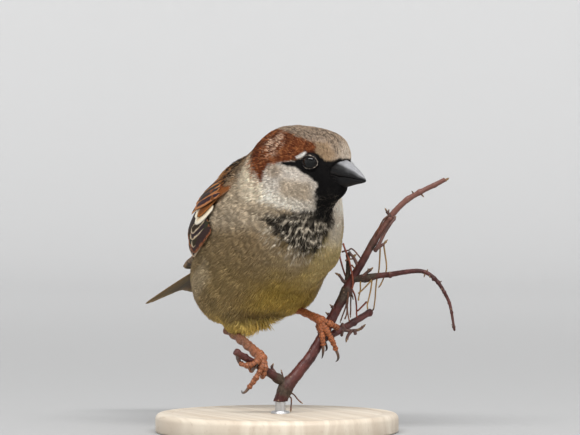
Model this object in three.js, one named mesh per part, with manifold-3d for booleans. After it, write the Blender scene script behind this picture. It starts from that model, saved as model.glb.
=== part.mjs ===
// House sparrow, adult male, life size, gripping a forked twig that stands on a plain display base.
// Millimetres, +Z up. The bird faces -Y, its left side is +X, and the base's underside is z = 0.
import * as THREE from "three";
import { mergeVertices } from "three/addons/utils/BufferGeometryUtils.js";
import Module from "manifold-3d";

const wasm = await Module();
wasm.setup();

// ---------------------------------------------------------------- driving dimensions
const GAP = 0.35; // clearance between neighbouring solids
const FACET_SLACK = 0.25; // extra clearance where two faceted copies of the trunk differ
const BODY_CELL = 5.3; // facet size on the trunk
const HEAD_CELL = 3.4; // facet size on the head
const BLEND = 7; // radius that rounds one plumage mass into the next

const EYES_MID = [4.6, -26.8, 84.4]; // point midway between the two eyes
const HEAD_YAW = 25; // degrees that the head turns to the bird's left
const HEAD_PITCH = -10; // degrees that the crown tips forward
const EYE_RADIUS = 2.9;
const EYE_BACK = -0.9; // how far the eye centres lie behind EYES_MID
const EYE_OFFSET = 6.0; // eye centre from the head's mid plane

const BILL_ROOT = 1.4; // start of the bill inside the face, ahead of the eyes
const BILL_TIP = 15.9; // tip of the bill, ahead of the eyes
const BILL_DEPTH = 8.7;
const BILL_WIDTH = 7.6;
const GAPE_HEIGHT = -3.3; // where the mandibles meet, from the level of the eyes

const TRUNK_PITCH = 27; // degrees that the breast is carried above the rump
const TAIL_PITCH = -17.5;
const TAIL_ROLL = 8; // degrees that the tail's left edge is raised
const TAIL_LENGTH = 58.5;
const TAIL_ROOT = [0, 22.6, 58.4];
const TAIL_PAIRS = 5;
const VANE_THICKNESS = 0.7;

const TARSUS_RADIUS = 1.45;
const TOE_RADIUS = 1.05;
const CLAW_RADIUS = 0.62;
const FOOT_BALL = 1.5; // radius of the joint between the tarsus and the toes

const BASE_RADIUS = 38;
const BASE_HEIGHT = 6;
const BASE_EDGE = 1.2; // chamfer round the base's top
const ROD_RADIUS = 1.6;
const ROD_CLEARANCE = 0.03; // between the rod and the base below it, and the stem above it
const STEM_RADIUS = 1.6; // of the twig where the left foot grips it

// ---------------------------------------------------------------- materials
const finish = (color, roughness) => new THREE.MeshStandardMaterial({ color, roughness, metalness: 0 });
const PALE_PLUMAGE = finish(0xa89f8c, 0.9);
const CROWN_PLUMAGE = finish(0x7c6653, 0.9);
const WING_PLUMAGE = finish(0x8a4a24, 0.85);
const DARK_PLUMAGE = finish(0x3c3128, 0.85);
const LEG_SKIN = finish(0xb06a45, 0.6);
const HORN = finish(0x2c2a2b, 0.4);
const EYE_GLOSS = finish(0x0d0a08, 0.08);
const BARK = finish(0x6a4442, 0.7);
const PALE_WOOD = finish(0xc9b79a, 0.6);
const STEEL = finish(0x9a9c9f, 0.35);

// ---------------------------------------------------------------- solids from three.js geometry
const vec = (p) => new THREE.Vector3(...p);
const rad = THREE.MathUtils.degToRad;

// A closed three.js geometry as a manifold solid whose faces point out.
function solidOf(geometry) {
  const bare = geometry.index ? geometry.toNonIndexed() : geometry.clone();
  for (const name of Object.keys(bare.attributes)) {
    if (name !== "position") bare.deleteAttribute(name);
  }
  const merged = mergeVertices(bare, 1e-3);
  const triVerts = new Uint32Array(merged.index.array);
  const vertProperties = merged.attributes.position.array;
  const made = new wasm.Manifold(new wasm.Mesh({ numProp: 3, vertProperties, triVerts }));
  if (made.volume() > 0) return made;
  for (let i = 0; i < triVerts.length; i += 3) {
    [triVerts[i + 1], triVerts[i + 2]] = [triVerts[i + 2], triVerts[i + 1]];
  }
  return new wasm.Manifold(new wasm.Mesh({ numProp: 3, vertProperties, triVerts }));
}

// A manifold solid as a named mesh.
function meshOf(solid, name, material) {
  const { vertProperties, triVerts, numProp } = solid.getMesh();
  const geometry = new THREE.BufferGeometry();
  const points = new Float32Array((vertProperties.length / numProp) * 3);
  for (let i = 0; i < points.length / 3; i++) {
    points.set(vertProperties.subarray(i * numProp, i * numProp + 3), i * 3);
  }
  geometry.setAttribute("position", new THREE.BufferAttribute(points, 3));
  geometry.setIndex(new THREE.BufferAttribute(new Uint32Array(triVerts), 1));
  geometry.computeVertexNormals();
  const mesh = new THREE.Mesh(geometry, material);
  mesh.name = name;
  return mesh;
}

// The largest body of a solid, so that a cut leaves no loose crumbs.
function mainBody(solid) {
  return solid.decompose().reduce((a, b) => (a.volume() > b.volume() ? a : b));
}

// A big box on one side of a plane, for parting a solid with a thin cut.
function halfSpace(point, normal, back = 0) {
  const size = 400;
  const box = new THREE.BoxGeometry(size, size, size).translate(0, 0, size / 2 + back);
  const turn = new THREE.Quaternion().setFromUnitVectors(new THREE.Vector3(0, 0, 1), vec(normal).normalize());
  box.applyQuaternion(turn).translate(...point);
  return solidOf(box);
}

// A tube of changing section along a curve. size(u) gives its half width and half thickness, and
// side is the direction in which the width is measured; without it the section turns as little as it can.
function loft(curve, size, { steps = 12, sides = 10, side = null } = {}) {
  const geometry = new THREE.SphereGeometry(1, sides, steps + 2);
  const position = geometry.attributes.position;
  const frames = curve.computeFrenetFrames(steps);
  for (let row = 0; row <= steps + 2; row++) {
    const step = THREE.MathUtils.clamp(row - 1, 0, steps);
    const u = step / steps;
    const centre = curve.getPointAt(u);
    const tangent = frames.tangents[step];
    const across = side
      ? side.clone().addScaledVector(tangent, -side.dot(tangent)).normalize()
      : frames.normals[step];
    const through = new THREE.Vector3().crossVectors(tangent, across);
    const capped = row === 0 || row === steps + 2 ? 0 : 1;
    const [half, thin] = size(u);
    for (let i = 0; i <= sides; i++) {
      const angle = (2 * Math.PI * i) / sides;
      const at = centre
        .clone()
        .addScaledVector(across, capped * half * Math.cos(angle))
        .addScaledVector(through, capped * thin * Math.sin(angle));
      position.setXYZ(row * (sides + 1) + i, at.x, at.y, at.z);
    }
  }
  return solidOf(geometry);
}

// ---------------------------------------------------------------- plumage masses as distance fields
// Distance from an ellipsoid's surface, negative inside.
function ellipsoid(centre, radii, turn = new THREE.Quaternion()) {
  const back = turn.clone().invert();
  const middle = vec(centre);
  const local = new THREE.Vector3();
  return (p) => {
    local.copy(p).sub(middle).applyQuaternion(back);
    const [x, y, z] = [local.x / radii[0], local.y / radii[1], local.z / radii[2]];
    const inner = Math.hypot(x, y, z);
    const slope = Math.hypot(x / radii[0], y / radii[1], z / radii[2]);
    return slope < 1e-9 ? -Math.min(...radii) : (inner * (inner - 1)) / slope;
  };
}

// One field from several, each rounded into the others over a radius.
function blended(fields, radius = BLEND) {
  return (p) =>
    fields
      .map((field) => field(p))
      .reduce((a, b) => {
        const h = Math.max(radius - Math.abs(a - b), 0) / radius;
        return Math.min(a, b) - (h * h * radius) / 4;
      });
}

const grown = (field, by) => (p) => field(p) - by;

// The surface where a field is zero, as one vertex in each grid cell that it crosses, pulled onto it.
function fieldSolid(field, low, high, cell) {
  const count = [0, 1, 2].map((k) => Math.ceil((high[k] - low[k]) / cell) + 1);
  const stride = [1, count[0], count[0] * count[1]];
  const value = new Float64Array(count[0] * count[1] * count[2]);
  const at = new THREE.Vector3();
  const place = (i, j, k) => at.set(low[0] + i * cell, low[1] + j * cell, low[2] + k * cell);
  const gridIndex = (i, j, k) => i + j * stride[1] + k * stride[2];
  for (let k = 0; k < count[2]; k++) {
    for (let j = 0; j < count[1]; j++) {
      for (let i = 0; i < count[0]; i++) {
        const edge = [i, j, k].some((n, axis) => n === 0 || n === count[axis] - 1);
        value[gridIndex(i, j, k)] = edge ? cell : field(place(i, j, k));
      }
    }
  }
  const points = [];
  const vertexOf = new Map();
  const probe = new THREE.Vector3();
  const slope = (p, axis) => {
    const h = 0.05;
    probe.copy(p).setComponent(axis, p.getComponent(axis) + h);
    const ahead = field(probe);
    probe.setComponent(axis, p.getComponent(axis) - h);
    return (ahead - field(probe)) / (2 * h);
  };
  // The vertex of one cell: the mean of its edge crossings, then two steps down the field's slope.
  function cellVertex(i, j, k) {
    const key = gridIndex(i, j, k);
    if (vertexOf.has(key)) return vertexOf.get(key);
    const sum = new THREE.Vector3();
    let crossings = 0;
    for (let axis = 0; axis < 3; axis++) {
      for (let corner = 0; corner < 4; corner++) {
        const start = [i, j, k];
        start[(axis + 1) % 3] += corner & 1;
        start[(axis + 2) % 3] += corner >> 1;
        const a = value[gridIndex(...start)];
        const b = value[gridIndex(...start) + stride[axis]];
        if (a < 0 === b < 0) continue;
        start[axis] += a / (a - b);
        sum.add(place(...start));
        crossings++;
      }
    }
    const p = sum.divideScalar(crossings);
    for (let pass = 0; pass < 2; pass++) {
      const gradient = new THREE.Vector3(slope(p, 0), slope(p, 1), slope(p, 2));
      const move = THREE.MathUtils.clamp(field(p), -cell / 4, cell / 4) / Math.max(gradient.lengthSq(), 0.2);
      p.addScaledVector(gradient, -move);
    }
    points.push(p.x, p.y, p.z);
    vertexOf.set(key, points.length / 3 - 1);
    return points.length / 3 - 1;
  }
  const triangles = [];
  for (let k = 0; k < count[2] - 1; k++) {
    for (let j = 0; j < count[1] - 1; j++) {
      for (let i = 0; i < count[0] - 1; i++) {
        for (let axis = 0; axis < 3; axis++) {
          const a = value[gridIndex(i, j, k)] < 0;
          const b = value[gridIndex(i, j, k) + stride[axis]] < 0;
          if (a === b) continue;
          const around = [0, 1, 3, 2].map((n) => {
            const c = [i, j, k];
            c[(axis + 1) % 3] -= n & 1;
            c[(axis + 2) % 3] -= n >> 1;
            return cellVertex(...c);
          });
          const [p, q, r, s] = a ? around : around.reverse();
          triangles.push(p, q, r, p, r, s);
        }
      }
    }
  }
  const geometry = new THREE.BufferGeometry();
  geometry.setAttribute("position", new THREE.BufferAttribute(new Float32Array(points), 3));
  geometry.setIndex(triangles);
  return mainBody(solidOf(geometry));
}

// ---------------------------------------------------------------- the head's own frame
const headTurn = new THREE.Quaternion()
  .setFromAxisAngle(vec([0, 0, 1]), rad(HEAD_YAW))
  .multiply(new THREE.Quaternion().setFromAxisAngle(vec([1, 0, 0]), rad(-HEAD_PITCH)));
// side is towards the bird's left, ahead towards the bill, both from the point between the eyes.
const inHead = (side, ahead, up) => vec([side, -ahead, up]).applyQuaternion(headTurn).add(vec(EYES_MID));
const headMass = ([side, ahead, up], radii) => ellipsoid(inHead(side, ahead, up).toArray(), radii, headTurn);
const pitched = (degrees) => new THREE.Quaternion().setFromAxisAngle(vec([1, 0, 0]), rad(-degrees));

const headField = blended(
  [
    headMass([0, -8.2, -0.5], [9.6, 10.7, 9.5]), // cranium
    headMass([0, -2.0, 2.2], [7.2, 9.9, 7.4]), // forehead
    headMass([0, 0.6, -3.0], [5.4, 6.4, 6.3]), // lores
    headMass([0, 3.0, -7.0], [4.6, 5.6, 4.4]), // chin
    headMass([0, -7.6, -4.8], [10.3, 8.4, 8.0]), // cheeks
    headMass([0, -13.8, -2.4], [11.6, 11.4, 11.2]), // nape
  ],
  3,
);
const bodyField = blended([
  headField,
  headMass([0, -6, -9.5], [8.0, 7.5, 7.5]), // throat
  ellipsoid([0, -11, 78], [14.0, 12.0, 12.5]), // neck
  ellipsoid([0, -9, 64.5], [16.2, 14.5, 15.2]), // upper breast
  ellipsoid([0, 2.5, 71.8], [20.4, 18, 16.2]), // mantle
  ellipsoid([0, 5, 57.6], [19.4, 28, 17.7], pitched(TRUNK_PITCH)), // trunk
  ellipsoid([0, 15.5, 50], [19.4, 19.8, 13.8]), // belly and flanks
  ellipsoid([-9, 18, 44], [9.2, 13.9, 11.1]), // right thigh
  ellipsoid([8.5, 17, 48], [9.2, 13.5, 10.5]), // left thigh, drawn up
  ellipsoid([0, 17, 61], [15, 22, 9.5], pitched(30)), // lower back
  ellipsoid([0, 32, 52.8], [9.5, 21, 6.8], pitched(-TAIL_PITCH)), // rump and tail coverts
]);

// ---------------------------------------------------------------- flesh and contour plumage
const headCut = inHead(0, -10.5, -3).toArray();
const headAxis = [0.34, -0.7, 0.55];
const neckCut = [0, -12, 72];
const neckAxis = [0.1, -0.5, 0.86];
const rumpCut = [0, 31, 52];
const rumpAxis = [0, 0.96, -0.28];

const fineBody = fieldSolid(bodyField, [-26, -46, 54], [28, 8, 100], HEAD_CELL);
const coarseBody = fieldSolid(bodyField, [-30, -42, 24], [30, 60, 100], BODY_CELL);
const bodyWithGap = fieldSolid(grown(bodyField, GAP + FACET_SLACK), [-30, -42, 24], [30, 60, 100], BODY_CELL);

const eyeAt = (sign) => inHead(sign * EYE_OFFSET, EYE_BACK, 0);
const ball = (centre, radius, detail = 10) =>
  solidOf(new THREE.SphereGeometry(radius, detail, Math.round(detail * 0.75)).translate(...centre.toArray()));

// The bill is one curved cone, parted along the gape into two mandibles.
const billCurve = new THREE.QuadraticBezierCurve3(
  inHead(0, BILL_ROOT, -2.2),
  inHead(0, BILL_TIP * 0.6, -1.9),
  inHead(0, BILL_TIP, GAPE_HEIGHT - 0.1),
);
const headSide = inHead(1, 0, 0).sub(inHead(0, 0, 0));
const billSize = (grow) => (u) => [
  (BILL_WIDTH / 2) * Math.pow(1 - Math.pow(u, 1.7), 0.9) + 0.2 + grow,
  (BILL_DEPTH / 2) * Math.pow(1 - Math.pow(u, 1.6), 0.8) + 0.2 + grow,
];
const billWhole = loft(billCurve, billSize(0), { steps: 8, sides: 10, side: headSide });
const billWithGap = loft(billCurve, billSize(GAP), { steps: 8, sides: 10, side: headSide });
const gapePoint = inHead(0, BILL_TIP, GAPE_HEIGHT).toArray();
const gapeUp = inHead(0, 0, 1).sub(inHead(0, 0, 0)).toArray();
const gapeDown = gapeUp.map((n) => -n);

const headSolid = mainBody(
  fineBody
    .intersect(halfSpace(headCut, headAxis, GAP / 2))
    .subtract(ball(eyeAt(-1), EYE_RADIUS + GAP))
    .subtract(ball(eyeAt(1), EYE_RADIUS + GAP))
    .subtract(billWithGap),
);
const neckSolid = mainBody(
  fineBody
    .intersect(halfSpace(headCut, headAxis.map((n) => -n), GAP / 2))
    .intersect(halfSpace(neckCut, neckAxis, GAP / 2)),
);

// ---------------------------------------------------------------- thighs, and the flesh that they leave
// The twigs that the feet grip, each as its lower and upper axis point at the grip.
const LEFT_GRIP = { low: [10.4, -5.3, 25.4], high: [17.5, -6.0, 37.6], radius: STEM_RADIUS };
const RIGHT_GRIP = { low: [1.3, -3.9, 15.4], high: [-16.5, -5.0, 25.6], radius: 1.25 };
const LEFT_LEG = { sign: 1, grip: LEFT_GRIP, along: 0.65, ankle: [9.4, 12.6, 38.6], thigh: [12, 15, 43] };
const RIGHT_LEG = {
  sign: -1, grip: RIGHT_GRIP, along: 0.56,
  ankle: [-9.7, 12.9, 30.6], thigh: [-12, 15, 39.5],
};
const THIGH_RADII = [10, 12.5, 12];
// A leg's thigh: an egg that takes in its part of the flank, and a cone of feathers down to the ankle.
const thighEgg = ({ thigh }, grow) =>
  solidOf(new THREE.SphereGeometry(1, 11, 8).scale(...THIGH_RADII.map((n) => n + grow)).translate(...thigh));
function thighCone({ ankle }, grow) {
  const top = vec(ankle).add(new THREE.Vector3(0, -3, 10));
  const line = new THREE.LineCurve3(top, vec(ankle).lerp(top, grow > 0 ? -0.03 : 0));
  return loft(line, (u) => [6.4 - 4.3 * u + grow, 7.0 - 4.8 * u + grow], { steps: 3, sides: 9 });
}
const thighSolid = (leg) => mainBody(coarseBody.intersect(thighEgg(leg, 0)).add(thighCone(leg, 0)));
const thighsWithGap = [LEFT_LEG, RIGHT_LEG]
  .map((leg) => thighEgg(leg, GAP).add(thighCone(leg, GAP)))
  .reduce((left, right) => left.add(right));
const trunkSolid = mainBody(
  coarseBody
    .intersect(halfSpace(neckCut, neckAxis.map((n) => -n), GAP / 2))
    .intersect(halfSpace(rumpCut, rumpAxis.map((n) => -n), GAP / 2))
    .subtract(thighsWithGap),
);
const rumpSolid = mainBody(
  coarseBody.intersect(halfSpace(rumpCut, rumpAxis, GAP / 2)).subtract(thighsWithGap),
);

// ---------------------------------------------------------------- flight feathers
// Half width of a vane along its length: narrow at the quill, widest past the middle, round at the tip.
const vaneSize = (width, thickness, grow) => (u) => {
  const blade = Math.min(1, 0.45 + 1.1 * u);
  const round = u > 0.86 ? Math.sqrt(Math.max(1 - ((u - 0.86) / 0.14) ** 2, 0.02)) : 1;
  return [(width / 2) * blade * round + grow, thickness / 2 + grow];
};
function vane(root, tip, bulge, width, side, grow = 0) {
  const middle = root.clone().lerp(tip, 0.5).add(bulge);
  const curve = new THREE.QuadraticBezierCurve3(root, middle, tip);
  return loft(curve, vaneSize(width, VANE_THICKNESS, grow), { steps: 5, sides: 4, side });
}
const joined = (solids) => solids.reduce((a, b) => a.add(b));

// Tail: pairs of feathers under one another, splayed a little, the middle pair shortest for the notch.
function tailFan(grow) {
  const feathers = [];
  for (const sign of [-1, 1]) {
    for (let pair = 0; pair < TAIL_PAIRS; pair++) {
      const splay = rad(sign * (0.5 + pair * 1.65));
      const length = TAIL_LENGTH - (pair === 0 ? 3 : 1.6 * Math.abs(pair - 4) * 0.6);
      const root = vec(TAIL_ROOT).add(new THREE.Vector3(sign * pair * 0.65, 0, 0.8 - pair * 0.28));
      const ahead = new THREE.Vector3(Math.sin(splay), Math.cos(splay), Math.tan(rad(TAIL_PITCH)));
      const tip = root.clone().addScaledVector(ahead.normalize(), length);
      tip.z -= pair * 0.12;
      for (const end of [root, tip]) end.z += end.x * Math.tan(rad(TAIL_ROLL));
      const side = new THREE.Vector3(1, 0, Math.tan(rad(TAIL_ROLL)) + sign * -0.05 * pair);
      feathers.push(vane(root, tip, new THREE.Vector3(0, 0, 0.6), 7.2, side, grow));
    }
  }
  return joined(feathers);
}

// Folded wing: over length y and height z its outer surface bulges to WING_PLAN at the height
// WING_LINE, and closes over the back at WING_TOP. Each is a curve of [y, value].
const flatCurve = (points) => new THREE.SplineCurve(points.map(([y, n]) => new THREE.Vector2(y, n)));
const WING_PLAN = flatCurve([
  [-12, 16.5], [-2, 20.8], [8, 22.6], [18, 20.9], [28, 14.8], [38, 9.6], [48, 7.4], [58, 6.6],
]);
const WING_LINE = flatCurve([[-12, 66], [58, 50]]);
const WING_TOP = flatCurve([[-12, 88], [2, 85], [16, 78], [30, 69], [44, 61.5], [58, 55.5]]);
function onWing(sign, y, z, out = 0) {
  const u = THREE.MathUtils.clamp((y + 12) / 70, 0, 1);
  const [plan, line, top] = [WING_PLAN, WING_LINE, WING_TOP].map((curve) => curve.getPoint(u).y);
  const above = THREE.MathUtils.clamp(Math.abs(z - line) / (top - line), 0, 0.97);
  return new THREE.Vector3(sign * (plan * Math.sqrt(1 - above * above) + out), y, z);
}

// A row of wing feathers. Each runs from a root to a tip, both [y, z] interpolated along the row.
function featherRow(sign, row, grow) {
  const feathers = [];
  for (let i = 0; i < row.count; i++) {
    const t = row.count > 1 ? i / (row.count - 1) : 0;
    const between = ([a, b]) => a.map((n, k) => THREE.MathUtils.lerp(n, b[k], t));
    const [rootY, rootZ] = between(row.roots);
    const [tipY, tipZ] = between(row.tips);
    const out = row.out - i * row.step;
    const root = onWing(sign, rootY, rootZ, out);
    const tip = onWing(sign, tipY, tipZ, out);
    const middle = onWing(sign, (rootY + tipY) / 2, (rootZ + tipZ) / 2, out);
    const bulge = middle.sub(root.clone().lerp(tip, 0.5)).multiplyScalar(2);
    const side = new THREE.Vector3(sign * -0.25, 0.2, 1);
    feathers.push(vane(root, tip, bulge, row.width, side, grow));
  }
  return joined(feathers);
}
const PRIMARIES = {
  count: 4, width: 6.5, out: 0.3, step: 0.25,
  roots: [[14, 57.5], [22, 63]],
  tips: [[60.5, 50.4], [50, 55.2]],
};
const SECONDARIES = {
  count: 5, width: 9.5, out: 1.5, step: 0.15,
  roots: [[11, 60], [16, 73]],
  tips: [[31, 55], [42.5, 60.5]],
};
// Shoulder and coverts: one blade that covers the bases of the flight feathers.
const COVERT_LINE = [[2, 71.8], [9, 68.6], [16, 64.8], [24, 60.4], [31, 57.2]];
function coverts(sign, grow) {
  const curve = new THREE.CatmullRomCurve3(COVERT_LINE.map(([y, z]) => onWing(sign, y, z, -0.6)));
  const size = (u) => {
    const round = Math.sqrt(Math.max(1 - (2 * u - 1) ** 4, 0.02));
    return [(9.6 - 3.8 * u) * round + grow, 1.9 * round + grow];
  };
  return loft(curve, size, { steps: 7, sides: 8, side: new THREE.Vector3(sign * -0.35, 0.25, 1) });
}
// Scapulars and mantle: the plate of back feathers between the neck and the wing.
const SCAPULAR_LINE = [[-8, 84], [1, 81.5], [11, 76.5], [20, 70.5]];
function scapulars(sign, grow) {
  const curve = new THREE.CatmullRomCurve3(SCAPULAR_LINE.map(([y, z]) => onWing(sign, y, z, 2.6)));
  const size = (u) => {
    const round = Math.sqrt(Math.max(1 - (2 * u - 1) ** 4, 0.02));
    return [(7.6 - 2.0 * u) * round + grow, 1.5 * round + grow];
  };
  return loft(curve, size, { steps: 6, sides: 8, side: new THREE.Vector3(sign * -0.85, 0.1, 0.7) });
}

// ---------------------------------------------------------------- legs and feet
// Toes: length, degrees of spread along the twig, degrees wrapped round it, curl beyond it, and the claw.
const TOES = {
  right: {
    inner: { length: 9.5, spread: -24, wrap: 230, claw: 4.0 },
    middle: { length: 12, spread: -5, wrap: 88, claw: 5.2 },
    outer: { length: 10, spread: 33, wrap: 230, claw: 4.4 },
    hind: { length: 7.8, spread: 9, wrap: 230, claw: 4.8 },
  },
  left: {
    inner: { length: 8.5, spread: -54, wrap: 150, claw: 4.0 },
    middle: { length: 11.6, spread: -31, wrap: 76, claw: 5.2 },
    outer: { length: 10, spread: 5, wrap: 230, claw: 4.4 },
    hind: { length: 8.2, spread: -36, wrap: 230, claw: 5.0 },
  },
};
const TOE_CURL = 11; // radius of a toe's curve where it has left the twig
const CLAW_CURL = 2.7;

function gripFrame({ grip, along, sign, ankle }) {
  const axis = vec(grip.high).sub(vec(grip.low)).normalize().multiplyScalar(grip === LEFT_GRIP ? 1 : -1);
  const outward = axis.clone().multiplyScalar(axis.x * sign > 0 ? 1 : -1);
  const centre = vec(grip.low).lerp(vec(grip.high), along);
  const toAnkle = vec(ankle).sub(centre);
  const up = new THREE.Vector3(0, -0.25, 1).addScaledVector(toAnkle.normalize(), 0.25);
  up.addScaledVector(outward, -up.dot(outward)).normalize();
  const over = new THREE.Vector3(0, -1, 0);
  over.addScaledVector(outward, -over.dot(outward)).addScaledVector(up, -over.dot(up)).normalize();
  const reach = grip.radius + TOE_RADIUS + GAP;
  return { outward, up, over, centre, reach, sole: centre.clone().addScaledVector(up, reach) };
}

// Points along a toe: round the twig at first, then on with a gentler curl.
function toePath(frame, toe, from, length, curl, start = null) {
  const points = [];
  const at = start ? start.at.clone() : frame.sole.clone();
  let heading = start ? start.heading : 0;
  const step = 0.25;
  for (let s = 0; s <= length + 1e-6; s += step) {
    if (s >= from) points.push(at.clone());
    const wrapping = !start && heading < rad(toe.wrap);
    const spread = rad(toe.spread);
    at.addScaledVector(frame.over, toe.back * Math.cos(heading) * Math.cos(spread) * step);
    at.addScaledVector(frame.up, -Math.sin(heading) * Math.cos(spread) * step);
    at.addScaledVector(frame.outward, Math.sin(spread) * step);
    heading += (Math.cos(spread) * step) / (wrapping ? frame.reach : curl);
  }
  return { points, at, heading };
}

const TOE_FACETS = { steps: 6, sides: 5 };
const CLAW_FACETS = { steps: 4, sides: 5 };
const toeSize = (u) => {
  const pads = 0.09 * Math.cos(u * Math.PI * 6);
  return [TOE_RADIUS * (1 - 0.22 * u + pads), TOE_RADIUS * (1 - 0.22 * u + pads)];
};
const clawSize = (u) => {
  const taper = 0.12 + 0.88 * Math.pow(1 - u, 0.7);
  return [CLAW_RADIUS * 0.8 * taper, CLAW_RADIUS * 1.1 * taper];
};

function legPieces(leg) {
  const side = leg.sign > 0 ? "left" : "right";
  const frame = gripFrame(leg);
  const pieces = [];
  const joint = frame.sole.clone().addScaledVector(frame.up, 0.5);
  const twig = loft(
    new THREE.LineCurve3(vec(leg.grip.low), vec(leg.grip.high)),
    () => [leg.grip.radius + GAP, leg.grip.radius + GAP],
    { steps: 2, sides: 10 },
  );
  // The foot's ball joins the tarsus to the four toes.
  const ankle = vec(leg.ankle);
  const tarsusCurve = new THREE.QuadraticBezierCurve3(
    ankle.clone().lerp(joint, -0.08),
    ankle.clone().lerp(joint, 0.5).add(new THREE.Vector3(0, 0, 0.7)),
    joint,
  );
  const tarsusSize = (u) => {
    const waist = TARSUS_RADIUS * (1 + 0.32 * (2 * u - 1) ** 4);
    return [waist * 0.9, waist * 1.1];
  };
  const tarsusFacets = { steps: 5, sides: 7 };
  const tarsus = loft(tarsusCurve, tarsusSize, tarsusFacets)
    .add(ball(joint, FOOT_BALL, 8))
    .subtract(twig);
  const tarsusSolid = mainBody(tarsus.subtract(thighsWithGap).subtract(bodyWithGap));
  pieces.push(meshOf(thighSolid(leg), `thigh_${side}`, PALE_PLUMAGE));
  pieces.push(meshOf(tarsusSolid, `tarsus_${side}`, LEG_SKIN));
  const ballWithGap = ball(joint, FOOT_BALL + GAP, 8);
  const tarsusWithGap = loft(tarsusCurve, (u) => tarsusSize(u).map((n) => n + GAP), tarsusFacets);
  const earlier = [];
  for (const [name, sizes] of Object.entries(TOES[side])) {
    const toe = { ...sizes, back: name === "hind" ? -1 : 1 };
    const path = toePath(frame, toe, 0.5, toe.length, TOE_CURL);
    const curve = new THREE.CatmullRomCurve3(path.points.filter((_, i) => i % 4 === 0));
    let solid = loft(curve, toeSize, TOE_FACETS).subtract(ballWithGap).subtract(tarsusWithGap).subtract(twig);
    for (const other of earlier) solid = solid.subtract(other);
    const solidWithGap = loft(curve, (u) => toeSize(u).map((n) => n + GAP), TOE_FACETS);
    earlier.push(solidWithGap);
    pieces.push(meshOf(mainBody(solid), `toe_${name}_${side}`, LEG_SKIN));
    const start = { at: path.at, heading: path.heading - rad(22) };
    const claw = toePath(frame, toe, 0, toe.claw, CLAW_CURL, start);
    const clawCurve = new THREE.CatmullRomCurve3(claw.points.filter((_, i) => i % 2 === 0));
    let clawSolid = loft(clawCurve, clawSize, CLAW_FACETS).subtract(twig);
    for (const other of earlier) clawSolid = clawSolid.subtract(other);
    earlier.push(loft(clawCurve, (u) => clawSize(u).map((n) => n + GAP), CLAW_FACETS));
    pieces.push(meshOf(mainBody(clawSolid), `claw_${name}_${side}`, HORN));
  }
  return pieces;
}

// ---------------------------------------------------------------- perch
const STEM_FOOT = [-0.5, -3.6, 9.8]; // middle of the stem's sawn end
const STEM = {
  name: "perch_stem",
  radius: (u) => THREE.MathUtils.lerp(1.9, 0.8, Math.pow(u, 0.8)),
  line: [
    [-1.2, -3.5, 7.6], [1.2, -3.9, 14], [5.2, -4.8, 18.8], [10.4, -5.3, 25.4], [17.5, -6.0, 37.6],
    [21.3, -6.6, 45], [25.1, -8.4, 52.3], [30.4, -10.9, 62.3], [37.1, -15.1, 71.9], [47.8, -22.3, 79],
  ],
};
const BRANCHES = [
  {
    name: "perch_stub_right", from: 1.3, to: 0.95,
    line: [[1.2, -3.9, 15.2], [-9, -4.6, 21.4], [-16.8, -5, 25.8]],
  },
  {
    name: "perch_side_twig", from: 1.0, to: 0.45,
    line: [[22.6, -7.2, 47.6], [31.9, -13.8, 49.1], [41.2, -21.4, 49.9], [46.4, -26, 42], [48, -27.9, 31.7]],
  },
  {
    name: "perch_stub_low", from: 1.2, to: 0.95,
    line: [[13.8, -5.5, 29.2], [22, -3.4, 32.4], [32.3, -1.4, 37.3]],
  },
  {
    name: "perch_stub_back", from: 0.9, to: 0.6,
    line: [[20.8, -6.6, 44.2], [22.2, -5.2, 50], [22.9, -3.6, 56]],
  },
];
const lineCurve = (line) => new THREE.CatmullRomCurve3(line.map(vec), false, "centripetal");

function perchPieces() {
  const stemCurve = lineCurve(STEM.line);
  const stemSize = (grow) => (u) => [STEM.radius(u) + grow, STEM.radius(u) + grow];
  const sawn = halfSpace([0, 0, STEM_FOOT[2]], [0, 0, 1]);
  const stem = loft(stemCurve, stemSize(0), { steps: 20, sides: 6 }).intersect(sawn);
  const stemWithGap = loft(stemCurve, stemSize(GAP), { steps: 20, sides: 6 });
  const pieces = [meshOf(stem, STEM.name, BARK)];
  for (const { name, from, to, line } of BRANCHES) {
    const size = (u) => [THREE.MathUtils.lerp(from, to, u), THREE.MathUtils.lerp(from, to, u)];
    const branch = loft(lineCurve(line), size, { steps: 2 * line.length, sides: 6 }).subtract(stemWithGap);
    pieces.push(meshOf(mainBody(branch), name, BARK));
  }
  return pieces;
}

// ---------------------------------------------------------------- stand
function standPieces() {
  const [footX, footY, footZ] = STEM_FOOT;
  const profile = [
    [0, 0], [BASE_RADIUS, 0], [BASE_RADIUS, BASE_HEIGHT - BASE_EDGE], [BASE_RADIUS - BASE_EDGE, BASE_HEIGHT],
    [0, BASE_HEIGHT],
  ].map(([r, z]) => new THREE.Vector2(r, z));
  const base = new THREE.LatheGeometry(profile, 36).rotateX(Math.PI / 2);
  const height = footZ - BASE_HEIGHT - 2 * ROD_CLEARANCE;
  const rod = new THREE.CylinderGeometry(ROD_RADIUS, ROD_RADIUS, height, 14)
    .rotateX(Math.PI / 2)
    .translate(footX, footY, BASE_HEIGHT + ROD_CLEARANCE + height / 2);
  return [meshOf(solidOf(base), "stand_base", PALE_WOOD), meshOf(solidOf(rod), "stand_rod", STEEL)];
}

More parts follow.
